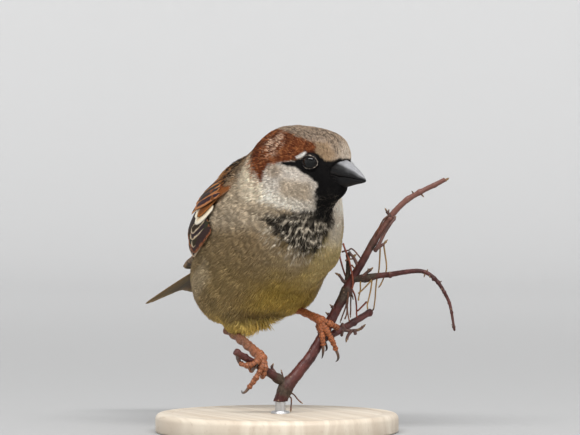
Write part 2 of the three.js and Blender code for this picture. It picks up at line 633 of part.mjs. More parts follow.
// ---------------------------------------------------------------- assembly
const sparrow = new THREE.Group();
const tailSolid = mainBody(tailFan(0).subtract(bodyWithGap));
sparrow.add(meshOf(headSolid, "head", CROWN_PLUMAGE));
sparrow.add(meshOf(neckSolid, "neck", PALE_PLUMAGE));
sparrow.add(meshOf(trunkSolid, "trunk", PALE_PLUMAGE));
sparrow.add(meshOf(rumpSolid, "rump", PALE_PLUMAGE));
sparrow.add(meshOf(mainBody(billWhole.intersect(halfSpace(gapePoint, gapeUp, 0.06))), "bill_upper", HORN));
sparrow.add(meshOf(mainBody(billWhole.intersect(halfSpace(gapePoint, gapeDown, 0.06))), "bill_lower", HORN));
sparrow.add(meshOf(tailSolid, "tail", DARK_PLUMAGE));
for (const [side, sign] of [["right", -1], ["left", 1]]) {
  sparrow.add(meshOf(ball(eyeAt(sign), EYE_RADIUS, 12), `eye_${side}`, EYE_GLOSS));
  const tailWithGap = tailFan(GAP);
  const scapularSolid = mainBody(scapulars(sign, 0).subtract(bodyWithGap));
  const covertSolid = mainBody(coverts(sign, 0).subtract(bodyWithGap).subtract(scapulars(sign, GAP)));
  const upper = coverts(sign, GAP).add(scapulars(sign, GAP)).add(bodyWithGap).add(tailWithGap);
  const secondarySolid = mainBody(featherRow(sign, SECONDARIES, 0).subtract(upper));
  const over = upper.add(featherRow(sign, SECONDARIES, GAP));
  const primarySolid = mainBody(featherRow(sign, PRIMARIES, 0).subtract(over));
  sparrow.add(meshOf(scapularSolid, `scapulars_${side}`, WING_PLUMAGE));
  sparrow.add(meshOf(covertSolid, `wing_coverts_${side}`, WING_PLUMAGE));
  sparrow.add(meshOf(secondarySolid, `wing_secondaries_${side}`, DARK_PLUMAGE));
  sparrow.add(meshOf(primarySolid, `wing_primaries_${side}`, DARK_PLUMAGE));
}
for (const leg of [RIGHT_LEG, LEFT_LEG]) sparrow.add(...legPieces(leg));
sparrow.add(...perchPieces());
sparrow.add(...standPieces());

export default sparrow;
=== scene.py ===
import math
import bmesh
import bpy
import numpy as np
from mathutils import Matrix, Vector
from mathutils.bvhtree import BVHTree
from mathutils.kdtree import KDTree


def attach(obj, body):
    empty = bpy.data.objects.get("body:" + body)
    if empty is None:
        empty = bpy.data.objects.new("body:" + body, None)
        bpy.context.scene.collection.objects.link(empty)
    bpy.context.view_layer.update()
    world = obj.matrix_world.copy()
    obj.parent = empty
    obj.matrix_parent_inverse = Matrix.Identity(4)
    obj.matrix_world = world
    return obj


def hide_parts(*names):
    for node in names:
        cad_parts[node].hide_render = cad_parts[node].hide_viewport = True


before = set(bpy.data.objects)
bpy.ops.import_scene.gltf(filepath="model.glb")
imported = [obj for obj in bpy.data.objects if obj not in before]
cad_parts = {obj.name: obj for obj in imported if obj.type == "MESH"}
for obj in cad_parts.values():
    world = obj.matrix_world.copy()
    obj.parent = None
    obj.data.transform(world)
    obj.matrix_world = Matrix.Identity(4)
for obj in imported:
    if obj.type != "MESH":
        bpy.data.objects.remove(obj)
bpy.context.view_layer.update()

# A cock house sparrow on a forked twig. Lengths are in millimetres until a mesh is made.
# The bird faces -Y, its left is +X, and the base stands on z = 0.
mm = 0.001
rng = np.random.default_rng(7)
studioScene = bpy.context.scene


# small maths on arrays of points
def unit(v):
    return v / np.maximum(np.linalg.norm(v, axis=-1, keepdims=True), 1e-12)


def ramp(x, low, high):
    t = np.clip((np.asarray(x, float) - low) / (high - low), 0, 1)
    return t * t * (3 - 2 * t)


def band(x, low, high, soft):
    return ramp(x, low - soft, low + soft) * (1 - ramp(x, high - soft, high + soft))


def dot(a, b):
    return np.sum(a * b, axis=-1, keepdims=True)


def patchy(points, size, seed):
    # smooth noise from -1 to 1 with patches of about this size
    made = np.random.default_rng(seed)
    total = np.zeros(len(points))
    for octave in range(5):
        waves = made.normal(size=3) * 2.2 / size * 1.35**octave
        total += np.sin(points @ waves + made.uniform(0, 6.28))
    return total / 3.2


def insideOutline(x, y, outline):
    # distance into an outline, positive inside
    outline = np.asarray(outline, float)
    nearest = np.full(len(x), 1e9)
    inside = np.zeros(len(x), bool)
    for (x0, y0), (x1, y1) in zip(outline, np.roll(outline, -1, axis=0)):
        dx, dy = x1 - x0, y1 - y0
        t = np.clip(((x - x0) * dx + (y - y0) * dy) / (dx * dx + dy * dy), 0, 1)
        nearest = np.minimum(nearest, np.hypot(x - x0 - t * dx, y - y0 - t * dy))
        crosses = (y0 > y) != (y1 > y)
        inside ^= crosses & (x < (x1 - x0) * (y - y0) / (y1 - y0 + 1e-12) + x0)
    return np.where(inside, nearest, -nearest)


# a smooth line through a few points, with the directions across it
class Line:
    def __init__(self, points, side=None, count=240):
        points = np.asarray(points, float)
        ends = [2 * points[0] - points[1], *points, 2 * points[-1] - points[-2]]
        dense = []
        for p0, p1, p2, p3 in zip(ends, ends[1:], ends[2:], ends[3:]):
            t = np.linspace(0, 1, 60, endpoint=False)[:, None]
            dense.append(
                0.5 * (2 * p1 + (p2 - p0) * t + (2 * p0 - 5 * p1 + 4 * p2 - p3) * t**2)
                + 0.5 * (3 * p1 - p0 - 3 * p2 + p3) * t**3
            )
        dense = np.vstack([*dense, points[-1:]])
        gone = np.concatenate([[0], np.cumsum(np.linalg.norm(np.diff(dense, axis=0), axis=1))])
        self.length = gone[-1]
        self.at = np.linspace(0, 1, count)
        self.points = self.spread(gone / gone[-1], dense, self.at)
        self.ahead = unit(np.gradient(self.points, axis=0))
        self.side = np.empty_like(self.points)
        if side is None:  # turns as little as it can
            side = np.cross(self.ahead[0], (0.3, 0.2, 1))
            for i, ahead in enumerate(self.ahead):
                side = unit(side - ahead * np.dot(side, ahead))
                self.side[i] = side
        else:
            side = np.asarray(side, float)
            if side.ndim == 2:  # one for each given point
                side = self.spread(np.linspace(0, 1, len(side)), side, self.at)
            self.side = unit(side - self.ahead * dot(self.ahead, side))
        self.up = np.cross(self.ahead, self.side)

    def spread(self, places, values, at):
        return np.stack([np.interp(at, places, values[:, k]) for k in range(3)], axis=1)

    def __call__(self, u):
        return [self.spread(self.at, values, u) for values in (self.points, self.side, self.up)]


# meshes
def formed(bm, shape, along, around, marks=None):
    # a grid rolled into a surface: shape(u, w) gives its points, and doubles close its seam and poles
    bm.loops.layers.uv.verify()
    colours = bm.verts.layers.float_color
    layers = {name: colours.get(name) or colours.new(name) for name in marks or {}}
    new = bmesh.ops.create_grid(bm, x_segments=along, y_segments=around, size=0.5, calc_uvs=True)["verts"]
    flat = np.array([v.co for v in new])
    u, w = flat[:, 0] + 0.5, flat[:, 1] + 0.5
    for v, place in zip(new, shape(u, w) * mm):
        v.co = place
    for name, given in (marks or {}).items():
        values = given(u, w) if callable(given) else np.tile(given, (len(new), 1))
        for v, value in zip(new, values):
            v[layers[name]] = value
    faces = list({f for v in new for f in v.link_faces})
    bmesh.ops.remove_doubles(bm, verts=new, dist=2e-7)
    faces = [f for f in faces if f.is_valid]
    bmesh.ops.recalc_face_normals(bm, faces=faces)


def tube(line, width, thickness=None, blunt=(0, 0)):
    # shape of a tube along a line: half width and half thickness as functions of u and w
    thickness = thickness or width

    def shape(u, w):
        centre, side, up = line(u)
        angle = 2 * math.pi * w
        closed = np.where((u < 1e-6) | (u > 1 - 1e-6), 0.0, 1.0)
        for blunted, fromEnd in zip(blunt, (u, 1 - u)):
            if blunted:
                closed = closed * np.sqrt(np.clip(1 - (1 - np.clip(fromEnd / blunted, 0, 1)) ** 2, 0, 1))
        across = (closed * width(u, w) * np.cos(angle))[:, None] * side
        through = (closed * thickness(u, w) * np.sin(angle))[:, None] * up
        return centre + across + through

    return shape


def wholeTurn(profile, steps):
    # an outline of (across, height) spun about the upright axis
    bm = bmesh.new()
    spots = [bm.verts.new((x * mm, 0, z * mm)) for x, z in profile]
    edges = [bm.edges.new(pair) for pair in zip(spots, spots[1:])]
    bmesh.ops.spin(
        bm, geom=spots + edges, cent=(0, 0, 0), axis=(0, 0, 1), angle=2 * math.pi, steps=steps, use_merge=True
    )
    bmesh.ops.remove_doubles(bm, verts=bm.verts, dist=1e-6)
    bmesh.ops.recalc_face_normals(bm, faces=bm.faces)
    return bm


def fillCut(bm, cut):
    rim = [e for e in cut["geom_cut"] if isinstance(e, bmesh.types.BMEdge)]
    bmesh.ops.holes_fill(bm, edges=rim, sides=0)
    bmesh.ops.recalc_face_normals(bm, faces=bm.faces)


def meshFrom(bm, name):
    mesh = bpy.data.meshes.new(name)
    bm.to_mesh(mesh)
    bm.free()
    return mesh


def finished(mesh, name, material, smooth=True):
    mesh.materials.clear()
    mesh.materials.append(material)
    mesh.polygons.foreach_set("use_smooth", np.full(len(mesh.polygons), smooth))
    made = bpy.data.objects.new(name, mesh)
    studioScene.collection.objects.link(made)
    return made


def piece(bm, name, material, replaced=(), smooth=True):
    return placed(meshFrom(bm, name), name, material, replaced, smooth)


def placed(mesh, name, material, replaced=(), smooth=True):
    made = finished(mesh, name, material, smooth)
    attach(made, "root")
    if replaced:
        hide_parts(*replaced)
    mesh.calc_loop_triangles()
    print(name, len(mesh.loop_triangles), "triangles")
    return made


def surfaceOf(mesh):
    points = np.empty(len(mesh.vertices) * 3)
    mesh.vertices.foreach_get("co", points)
    normals = np.empty(len(mesh.vertices) * 3)
    mesh.vertex_normals.foreach_get("vector", normals)
    return points.reshape(-1, 3) / mm, unit(normals.reshape(-1, 3))


def move(mesh, points):
    mesh.vertices.foreach_set("co", (points * mm).ravel())
    mesh.update()


def pointValues(made, name, values):
    layer = made.data.attributes.new(name, "FLOAT", "POINT")
    layer.data.foreach_set("value", values)


# shader maths as plain expressions
class Value:
    def __init__(self, paint, socket):
        self.paint = paint
        self.socket = socket

    def __add__(self, other):
        return self.paint.math("ADD", self, other)

    def __sub__(self, other):
        return self.paint.math("SUBTRACT", self, other)

    def __rsub__(self, other):
        return self.paint.math("SUBTRACT", other, self)

    def __mul__(self, other):
        return self.paint.math("MULTIPLY", self, other)


class Paint:
    def __init__(self, name, fixed):
        self.material = bpy.data.materials.new(name)
        self.material.use_nodes = True
        self.tree = self.material.node_tree
        self.tree.nodes.clear()
        self.surface = self.tree.nodes.new("ShaderNodeBsdfPrincipled")
        end = self.tree.nodes.new("ShaderNodeOutputMaterial")
        self.tree.links.new(self.surface.outputs[0], end.inputs["Surface"])
        for socket, value in fixed.items():
            self.surface.inputs[socket].default_value = value
        self.places = self.node("TexCoord")[3]

    def node(self, kind, settings=None, sockets=None):
        made = self.tree.nodes.new("ShaderNode" + kind)
        for key, value in (settings or {}).items():
            setattr(made, key, value)
        for key, value in (sockets or {}).items():
            if isinstance(value, Value):
                self.tree.links.new(value.socket, made.inputs[key])
            elif isinstance(value, tuple) and len(value) == 3 and made.inputs[key].type == "RGBA":
                made.inputs[key].default_value = (*value, 1)
            else:
                made.inputs[key].default_value = value
        return [Value(self, socket) for socket in made.outputs]

    def math(self, operation, first, second=0.0):
        return self.node("Math", {"operation": operation}, {0: first, 1: second})[0]

    def mix(self, factor, first, second, blend="MIX"):
        settings = {"data_type": "RGBA", "blend_type": blend, "clamp_factor": True}
        return self.node("Mix", settings, {0: factor, 6: first, 7: second})[2]

    def attribute(self, name):
        return self.node("Attribute", {"attribute_name": name})

    def noise(self, vector, scale, detail=3.0, roughness=0.55):
        sockets = {"Vector": vector, "Scale": scale, "Detail": detail, "Roughness": roughness}
        return self.node("TexNoise", None, sockets)[0]

    def fine(self, scale, detail=3.0):
        return self.noise(self.places, scale, detail)

    def cells(self, scale, feature):
        return self.node("TexVoronoi", {"feature": feature}, {"Vector": self.places, "Scale": scale})[0]

    def grey(self, value):
        return self.node("CombineColor", None, {0: value, 1: value, 2: value})[0]

    def steps(self, value, low, high):
        settings = {"interpolation_type": "SMOOTHSTEP"}
        return self.node("MapRange", settings, {0: value, 1: low, 2: high})[0]

    def stretched(self, scale, turn=(0, 0, 0)):
        return self.node("Mapping", None, {"Vector": self.places, "Scale": scale, "Rotation": turn})[0]

    def parts(self, vector):
        return self.node("SeparateXYZ", None, {0: vector})

    def joined(self, x, y, z):
        return self.node("CombineXYZ", None, {0: x, 1: y, 2: z})[0]

    def numbers(self, name):
        # the four numbers of a colour attribute
        made = self.attribute(name)
        return [*self.node("SeparateColor", None, {0: made[0]}), made[3]]

    def bump(self, height, distance, strength=1.0, normal=None):
        sockets = {"Height": height, "Distance": distance, "Strength": strength}
        if normal is not None:
            sockets["Normal"] = normal
        return self.node("Bump", None, sockets)[0]

    def drive(self, **sockets):
        for name, value in sockets.items():
            socket = self.surface.inputs[name.replace("_", " ")]
            self.tree.links.new(value.socket, socket)
        return self.material


# the head's own frame, from the point between the eyes
headSettings = {"between": (4.6, -26.8, 84.4), "yaw": 25, "pitch": -10}
eyesMid = np.array(headSettings["between"])
headTurn = np.array(
    Matrix.Rotation(math.radians(headSettings["yaw"]), 3, "Z")
    @ Matrix.Rotation(math.radians(-headSettings["pitch"]), 3, "X")
)


def inHead(side, ahead, up):
    return eyesMid + headTurn @ np.array([side, -ahead, up])


def headPlaces(points):
    local = (points - eyesMid) @ headTurn
    return local[:, 0], -local[:, 1], local[:, 2]


def fromHead(side, ahead, up):
    return eyesMid + np.stack([side, -ahead, up], axis=1) @ headTurn.T


def headWay(side, ahead, up):
    return headTurn @ np.array([side, -ahead, up], float)


headMid = inHead(0, -8, -1)
bodyMid, bodyWay = (0, 5, 57), np.array((0, 0.891, -0.454))  # the trunk's middle, and its line to the tail


def nearestOf(points, centres):
    return np.min([np.linalg.norm(points - centre, axis=1) for centre in centres], axis=0)


print("frame and helpers ready")


# studio: camera, a bowl-shaped backdrop, a soft light overhead and a weak fill
studio = {
    "azimuth": -25, "elevation": 0.5, "distance": 1007, "aim": (3.7, -1.7, 67), "lens": 200,
    "floorRadius": 1500, "curve": 700, "wallHeight": 1000,
    "paperNear": 0.42, "paperFar": 0.70, "paperWall": 0.82, "skyStrength": 0.52,
    "key": (2400, 340), "keyHeight": 1450, "keyForward": 1.10, "keyPower": 46,
    "fill": (900, 900), "fillPower": 3.5,
}


def viewFrom(azimuth, elevation):
    a, e = math.radians(azimuth), math.radians(elevation)
    return Vector((math.sin(a) * math.cos(e), -math.cos(a) * math.cos(e), math.sin(e)))


def aimed(name, data, place, target):
    made = bpy.data.objects.new(name, data)
    made.location = place
    made.rotation_euler = (target - place).to_track_quat("-Z", "Y").to_euler()
    studioScene.collection.objects.link(made)
    return made


def softbox(name, size, power, place, target):
    lamp = bpy.data.lights.new(name, "AREA")
    lamp.shape = "RECTANGLE"
    lamp.size, lamp.size_y = size[0] * mm, size[1] * mm
    lamp.energy = power
    return aimed(name, lamp, place, target)


lens = bpy.data.cameras.new("camera")
lens.lens = studio["lens"]
lens.sensor_width = 36
lens.clip_end = 20
aim = Vector(studio["aim"]) * mm
eyePoint = aim + viewFrom(studio["azimuth"], studio["elevation"]) * studio["distance"] * mm
studioScene.camera = aimed("camera", lens, eyePoint, aim)
studioScene.view_settings.view_transform = "Standard"

front = viewFrom(studio["azimuth"], 0)
high = Vector((0, 0, studio["keyHeight"])) * mm
softbox("light_key", studio["key"], studio["keyPower"], high + front * studio["keyForward"], aim)
softbox("light_fill", studio["fill"], studio["fillPower"], aim + viewFrom(40, 12) * 1.9, aim)

sky = bpy.data.worlds.new("sky")
sky.use_nodes = True
sky.node_tree.nodes["Background"].inputs["Color"].default_value = (0.99, 0.995, 1.0, 1)
sky.node_tree.nodes["Background"].inputs["Strength"].default_value = studio["skyStrength"]
studioScene.world = sky

profile = [(0, 0), (studio["floorRadius"], 0)]
for step in range(1, 13):
    turn = math.pi / 2 * step / 12
    across = studio["floorRadius"] + studio["curve"] * math.sin(turn)
    profile.append((across, studio["curve"] * (1 - math.cos(turn))))
profile.append((profile[-1][0], studio["wallHeight"]))
bm = wholeTurn(profile, 96)
bmesh.ops.reverse_faces(bm, faces=bm.faces)
paper = Paint("backdrop_paper", {"Roughness": 0.95, "Specular IOR Level": 0.1})
away = paper.node("VectorMath", {"operation": "LENGTH"}, {0: paper.places})[1]
near, far, wall = ((studio[key],) * 3 for key in ("paperNear", "paperFar", "paperWall"))
tone = paper.mix(paper.steps(away, 0.1, 1.5), near, far)
tone = paper.mix(paper.steps(away, 1.3, 2.4), tone, wall)
paper.drive(Base_Color=paper.mix(paper.fine(2.0) * 0.04, tone, (0.5, 0.49, 0.48)))
finished(meshFrom(bm, "backdrop"), "backdrop", paper.material)
print("studio ready")


# the bird's markings, shared by skin and coat: most colours are for the plumage in even light, but the
# belly's yellow is painted yellow-green bounce light over pale plumage, and some layers in markings add
# painted light and painted shade
tints = {
    "breast": (0.475, 0.375, 0.255), "breastDark": (0.20, 0.135, 0.052), "side": (0.350, 0.250, 0.135),
    # belly, bellyLow and olive: pale plumage with painted yellow-green bounce light
    "belly": (0.47, 0.335, 0.082), "bellyLow": (0.74, 0.54, 0.155), "olive": (0.62, 0.49, 0.205),
    "flankStreak": (0.62, 0.50, 0.33), "flankDark": (0.20, 0.145, 0.075), "vent": (0.42, 0.345, 0.21),
    "rump": (0.30, 0.235, 0.16), "napeBrown": (0.36, 0.26, 0.165),
    "mantle": (0.34, 0.145, 0.050), "mantleBuff": (0.55, 0.30, 0.125), "mantleBlack": (0.022, 0.018, 0.015),
    "crown": (0.43, 0.33, 0.245), "crownDark": (0.060, 0.043, 0.032), "brow": (0.39, 0.27, 0.165),
    "chestnut": (0.19, 0.051, 0.017), "chestnutDeep": (0.060, 0.018, 0.010), "rust": (0.44, 0.165, 0.062),
    "fleck": (0.78, 0.54, 0.38), "cheek": (0.80, 0.72, 0.63), "cheekGrey": (0.53, 0.465, 0.39),
    "cheekBuff": (0.56, 0.43, 0.28), "ear": (0.42, 0.30, 0.19), "band": (0.96, 0.87, 0.74),
    "cream": (0.94, 0.79, 0.60), "black": (0.010, 0.009, 0.009), "bib": (0.026, 0.021, 0.016),
    "bibPale": (0.66, 0.575, 0.45), "white": (0.92, 0.90, 0.85),
}
sideMarks = {  # outlines on the side of the head as (ahead, up)
    "chestnut": [(-1.6, 6.4), (-0.1, 4.4), (0.5, 2.6), (-2.5, 1.6), (-4.9, -0.2), (-8.2, -1.7),
                 (-13.2, -2.9), (-14.6, -5.2), (-15.1, -8.9), (-16.2, -9.2), (-17.9, -7.4), (-20.6, -5),
                 (-24.5, -1.5), (-30, 8), (-18, 20), (-4, 16)],
    "mask": [(-2.6, 2), (-1, 2.9), (1.3, 2.6), (3.6, 1), (5.2, 1), (6.4, 2.2), (9, 2.4), (9, -12),
             (1.9, -12.5), (1.3, -9.5), (2.4, -7.2), (0.9, -6), (-0.4, -4.7), (-2.2, -3.9), (-4.4, -2.6),
             (-9.8, -2.7), (-9.6, -2.1), (-6.8, -1.2), (-5, -0.7), (-3.4, 0.5)],
    "brow": [(-1.8, 4.8), (0.4, 4.4), (2.4, 3.2), (4.6, 2), (6, 2.6), (5.4, 4.2), (2.8, 5.4), (0, 6.4)],
    "whiteSpot": [(-2.3, 2.5), (-2.5, 1.5), (-3.4, 0.5), (-4.8, -0.1), (-5.2, 0.5), (-4.3, 1.5),
                  (-3.1, 2.6)],
    "cream": [(-15.4, -9.6), (-17.2, -8), (-21, -5.4), (-25, -3.2), (-27, -9), (-22, -16), (-17, -16.5),
              (-14, -14)],
}


def regions(points):
    # how far each point is into the parts of the bird, 0 to 1
    side, ahead, up = headPlaces(points)
    flank = np.abs(side)
    x, y, z = points.T
    rough = patchy(points, 1.1, 3) * 0.35 + patchy(points, 2.6, 4) * 0.3
    inside = {name: insideOutline(ahead, up, outline) for name, outline in sideMarks.items()}
    along = (y - bodyMid[1]) * bodyWay[1] + (z - bodyMid[2]) * bodyWay[2]
    high = (z - bodyMid[2]) * bodyWay[1] - (y - bodyMid[1]) * bodyWay[2]
    at = {"along": along, "high": high}
    at["head"] = 1 - ramp(np.sqrt((side / 1.05) ** 2 + (ahead + 8) ** 2 + (up + 1.5) ** 2), 13.5, 17.5)
    crownHalf = np.interp(
        ahead, [-25, -22, -18, -14, -8, -3, 0, 3, 6], [0, 2.4, 4.6, 6.0, 7.0, 6.7, 6.0, 4.6, 3.6]
    )
    at["crown"] = ramp(crownHalf + rough - flank, -0.35, 0.55) * ramp(up, 1.4, 2.4)
    at["chestnut"] = ramp(inside["chestnut"] + rough * 0.8, -0.5, 0.5) * (1 - at["crown"])
    eyeLine = np.interp(ahead, [-26, -14, -8, -5, -3, 8], [-4.0, -2.8, -1.4, -0.6, 0.4, 0.4])
    at["upper"] = ramp(up + rough * 0.4 - eyeLine, -0.3, 0.3)
    at["brow"] = ramp(inside["brow"] + rough * 0.5, -0.4, 0.7)
    chinHalf = np.interp(up, [-19, -16, -15.1, -12.3, -9.5, -6], [5.0, 3.4, 3.4, 4.9, 5.7, 6.2])
    chin = ramp(chinHalf - flank + rough * 0.7, -0.3, 0.5) * ramp(-up, 5.0, 6.0)
    chin = chin * ramp(ahead + (up + 8) * 0.25, -3.0, -1.2)
    at["mask"] = np.maximum(ramp(inside["mask"] + rough * 0.35, -0.25, 0.35), chin * ramp(up, -20, -18))
    at["whiteSpot"] = ramp(inside["whiteSpot"] + rough * 0.25, -0.15, 0.25)
    at["cream"] = ramp(inside["cream"] + rough, -1.2, 1.2) * ramp(y, -22, -17)
    at["ear"] = (1 - ramp(np.hypot((ahead + 11.5) / 1.5, up + 5.0), 1.2, 3.0)) * ramp(flank, 4, 7)
    # the bib widens over the breast and breaks up at its edges
    bibLeft = np.interp(z, [54, 56.9, 59.4, 63.1, 67.8, 70, 74], [-3, -5.2, -8.8, -12.4, -15.0, -14.0, -1.0])
    bibRight = np.interp(z, [54, 56.9, 61.6, 64.7, 68, 72], [3.2, 5.2, 7.6, 9.6, 9.0, 7.5])
    bibIn = np.minimum(np.minimum(x - bibLeft, bibRight - x), np.minimum(z - 54.9, 69.6 - z + (x - 1) * 0.12))
    at["bib"] = ramp(bibIn + rough * 2.6, -1.0, 1.8) * (1 - ramp(y, -14, -8))
    lower = np.interp(x, [-18, -15, -9, -3, 2, 8], [73.0, 71.8, 69.6, 67.4, 66.0, 67.0])
    at["band"] = ramp(z + rough * 1.5 - lower, -0.9, 1.0) * (1 - ramp(y, -14, -9))
    mantleFrom = np.interp(along, [-20, 0, 20], [12.2, 10.0, 7.0])
    at["mantle"] = ramp(high + rough - mantleFrom, -1, 1) * ramp(along, -17.5, -14)
    at["mantle"] = np.maximum(at["mantle"], scapularAt(points))
    at["mantle"] *= 1 - ramp(along, 18, 26)
    at["rump"] = ramp(high, 1.5, 4.5) * ramp(along, 20, 26)
    at["nape"] = ramp(-along, 13, 16) * ramp(high, 12, 15)
    # the belly's area, where its pale plumage carries painted yellow-green bounce light
    at["belly"] = 1 - ramp(z + x * 0.22 + patchy(points, 9, 8) * 1.6, 41, 57.5)
    at["belly"] *= (1 - 0.6 * ramp(y, 6, 20)) * (1 - 0.4 * ramp(x, 10, 18))
    at["vent"] = ramp(along, 24, 31) * (1 - at["rump"])
    return at


def dyed(colour, layers):
    # lays tints over a colour, one after another, each through its own mask
    for name, mask in layers:
        colour = colour + (np.array(tints[name]) - colour) * np.clip(mask, 0, 1)[:, None]
    return colour


def markings(points):
    at = regions(points)
    x, y, z = points.T
    _, ahead, up = headPlaces(points)
    wide, head, red = np.abs(x), at["head"], at["chestnut"]
    soft, fine = patchy(points, 8, 21), patchy(points, 1.6, 22)
    belowWing = band(z + (y - 13) * 0.5, 44.5, 52, 1.5) * band(y, 9, 24, 3)
    thigh = 1 - ramp(np.hypot((y - 6) / 1.6, z - 35.2 + np.abs(x + 9) * 0.1), 1.2, 4.2)
    return dyed(np.tile(np.array(tints["breast"]), (len(points), 1)), [
        ("side", ramp(wide, 11, 16) * band(z, 36, 63, 4) * ramp(-x, -20, -8)),
        ("breastDark", band(z + x * 0.2, 55, 60, 2) * ramp(-y, 0, 10) * band(x, -10, 5, 3) * 0.9),
        ("breastDark", ramp(soft + fine * 0.5, 0.5, 1.8) * 0.5),
        # pale belly plumage with painted yellow-green bounce light, brightest low down
        ("belly", at["belly"]),
        ("bellyLow", (1 - ramp(z, 33, 43)) * (1 - 0.6 * ramp(y, 12, 24))),
        # painted shade: the side's darker brown laid low on the right flank only
        ("side", ramp(-x, 4, 15) * band(z, 34, 61, 4) * 0.75),
        ("cream", ramp(z, 61, 67) * ramp(-x, 8, 14) * 0.28),
        # painted light: a brighter yellow on the front of the left breast
        ("olive", band(z, 44, 62, 4) * ramp(x, -2, 6) * ramp(-y, 2, 10) * 0.7),
        ("flankDark", ramp(fine + soft * 0.6, 0.7, 1.6) * band(y, -4, 26, 6) * ramp(wide, 10, 16) * 0.6),
        ("flankStreak", belowWing * ramp(wide, 15, 18) * 0.6),
        ("flankDark", thigh * ramp(-x, -12, -4) * 0.75),
        ("vent", at["vent"]),
        ("rump", at["rump"]),
        ("mantle", at["mantle"]),
        ("napeBrown", at["nape"] * (1 - head)),
        ("band", at["band"]),
        ("band", band(x, 7.5, 15, 1.5) * band(z, 58, 71, 3) * ramp(-y, 9, 14) * 0.6),
        ("bib", at["bib"] * ramp(fine + 1.6, 0.0, 0.9)),
        ("cheek", head),
        ("cheekGrey", head * ramp(patchy(points, 3.5, 31) + fine * 0.4, 0.1, 1.4) * 0.7),
        ("cheekBuff", head * band(up, -13.5, -7.0, 1.5) * band(ahead, -8.5, 0.5, 1.5) * 0.65),
        ("ear", at["ear"] * 0.6),
        ("band", head * (1 - ramp(up + ahead * 0.18, -14.2, -12.6)) * 0.9),
        ("cream", at["cream"] * 0.9),
        ("brow", at["upper"] * head),
        ("crown", at["crown"] * head),
        ("brow", at["brow"] * 0.8),
        ("chestnut", red),
        ("chestnutDeep", red * ramp(patchy(points, 2.2, 34) + fine * 0.6, 0.0, 1.2) * 0.6),
        ("black", at["mask"]),
        ("white", at["whiteSpot"] * 0.95),
    ])


# the coat's size grows from the bill to the belly, and shrinks again on the thighs
billRoot = inHead(0, 2.0, -2.6)
ankles = np.array([(9.4, 12.6, 38.6), (-9.7, 12.9, 30.6)])
eyeCentres = np.array([inHead(side * 6.0, -1.2, -0.4) for side in (1, -1)])
coatSizes = {
    "away": [2, 6, 10, 16, 24, 34, 46, 62, 90],
    "long": [0.95, 1.5, 2.1, 2.9, 4.2, 6.0, 7.4, 7.8, 7.8],
    "deep": [0.20, 0.34, 0.50, 0.72, 1.20, 1.70, 2.0, 1.8, 1.6],
    "apart": [0.30, 0.36, 0.43, 0.53, 0.68, 0.83, 0.93, 0.98, 1.05],
}


def coatAt(points):
    away = np.linalg.norm(points - billRoot, axis=1)
    long, deep, apart = (np.interp(away, coatSizes["away"], coatSizes[k]) for k in ("long", "deep", "apart"))
    near = 0.35 + 0.65 * ramp(nearestOf(points, ankles), 1.5, 13)
    lid = 0.6 + 0.4 * ramp(nearestOf(points, eyeCentres), 3.2, 6.5)
    return long * near * lid, deep * near * lid, apart * (0.6 + 0.4 * near) * (0.8 + 0.2 * lid)


# the bill's line, half width and half depth, and its gape and nostril, all from between the eyes
billSettings = {
    "line": [(0, 1.2, -2.2), (0, 9.54, -1.9), (0, 15.9, -3.4)], "width": 3.8, "depth": 4.35,
    "gape": [(0.0, -4.2), (2.5, -3.9), (6, -3.45), (10, -3.15), (14, -3.2), (16.0, -3.5)],
    "nostril": (5.0, 0.55),
}


def billSection(u):
    start, middle, end = np.array(billSettings["line"], float)
    centre = start * ((1 - u) ** 2)[:, None] + middle * (2 * u * (1 - u))[:, None] + end * (u**2)[:, None]
    wide = billSettings["width"] * np.clip(1 - u**1.7, 0, 1) ** 0.9 + 0.16
    deep = billSettings["depth"] * np.clip(1 - u**1.6, 0, 1) ** 0.8 + 0.16
    return centre[:, 1], centre[:, 2], wide, deep


def billRead(ahead):
    # the bill's middle, half width and half depth at a place ahead of the eyes
    places, *values = billSection(np.linspace(0, 1, 80))
    return [np.interp(ahead, places, row) for row in values]


def intoBill(points):
    # draws the skin that runs on to the bill inside the horn
    side, ahead, up = headPlaces(points)
    middle, wide, deep = billRead(ahead)
    beyond = np.hypot(side / (wide + 0.5), (up - middle) / (deep + 0.5))
    pull = (1 - ramp(beyond, 1.0, 1.12)) * ramp(ahead, 3.6, 4.6)
    kept = 1 - pull * 0.45
    return fromHead(side * kept, ahead, middle + (up - middle) * kept)


# the folded wing's outer surface, over length y and height z, and the part of it that shows
wingPlan = [(-12, 16.5), (-2, 20.8), (8, 22.6), (18, 20.9), (28, 14.8), (38, 9.6), (48, 7.4), (58, 6.6)]
wingLine = [(-12, 66), (58, 50)]
wingTop = [(-12, 88), (2, 85), (16, 78), (30, 69), (44, 61.5), (58, 55.5)]


def smoothRead(at, points):
    starts, values = np.array(points, float).T
    place = np.clip((at - starts[0]) / (starts[1] - starts[0]), 0, len(starts) - 1 - 1e-9)
    i = place.astype(int)
    t = place - i
    p0, p1, p2, p3 = (values[np.clip(i + k, 0, len(values) - 1)] for k in (-1, 0, 1, 2))
    return 0.5 * (2 * p1 + (p2 - p0) * t + (2 * p0 - 5 * p1 + 4 * p2 - p3) * t**2
                  + (3 * p1 - p0 - 3 * p2 + p3) * t**3)


def wingPoint(sign, y, z):
    plan, line, top = (smoothRead(y, curve) for curve in (wingPlan, wingLine, wingTop))
    above = np.clip(np.abs(z - line) / (top - line), 0, 0.97)
    return np.stack([sign * plan * np.sqrt(1 - above**2), y, z], axis=-1)


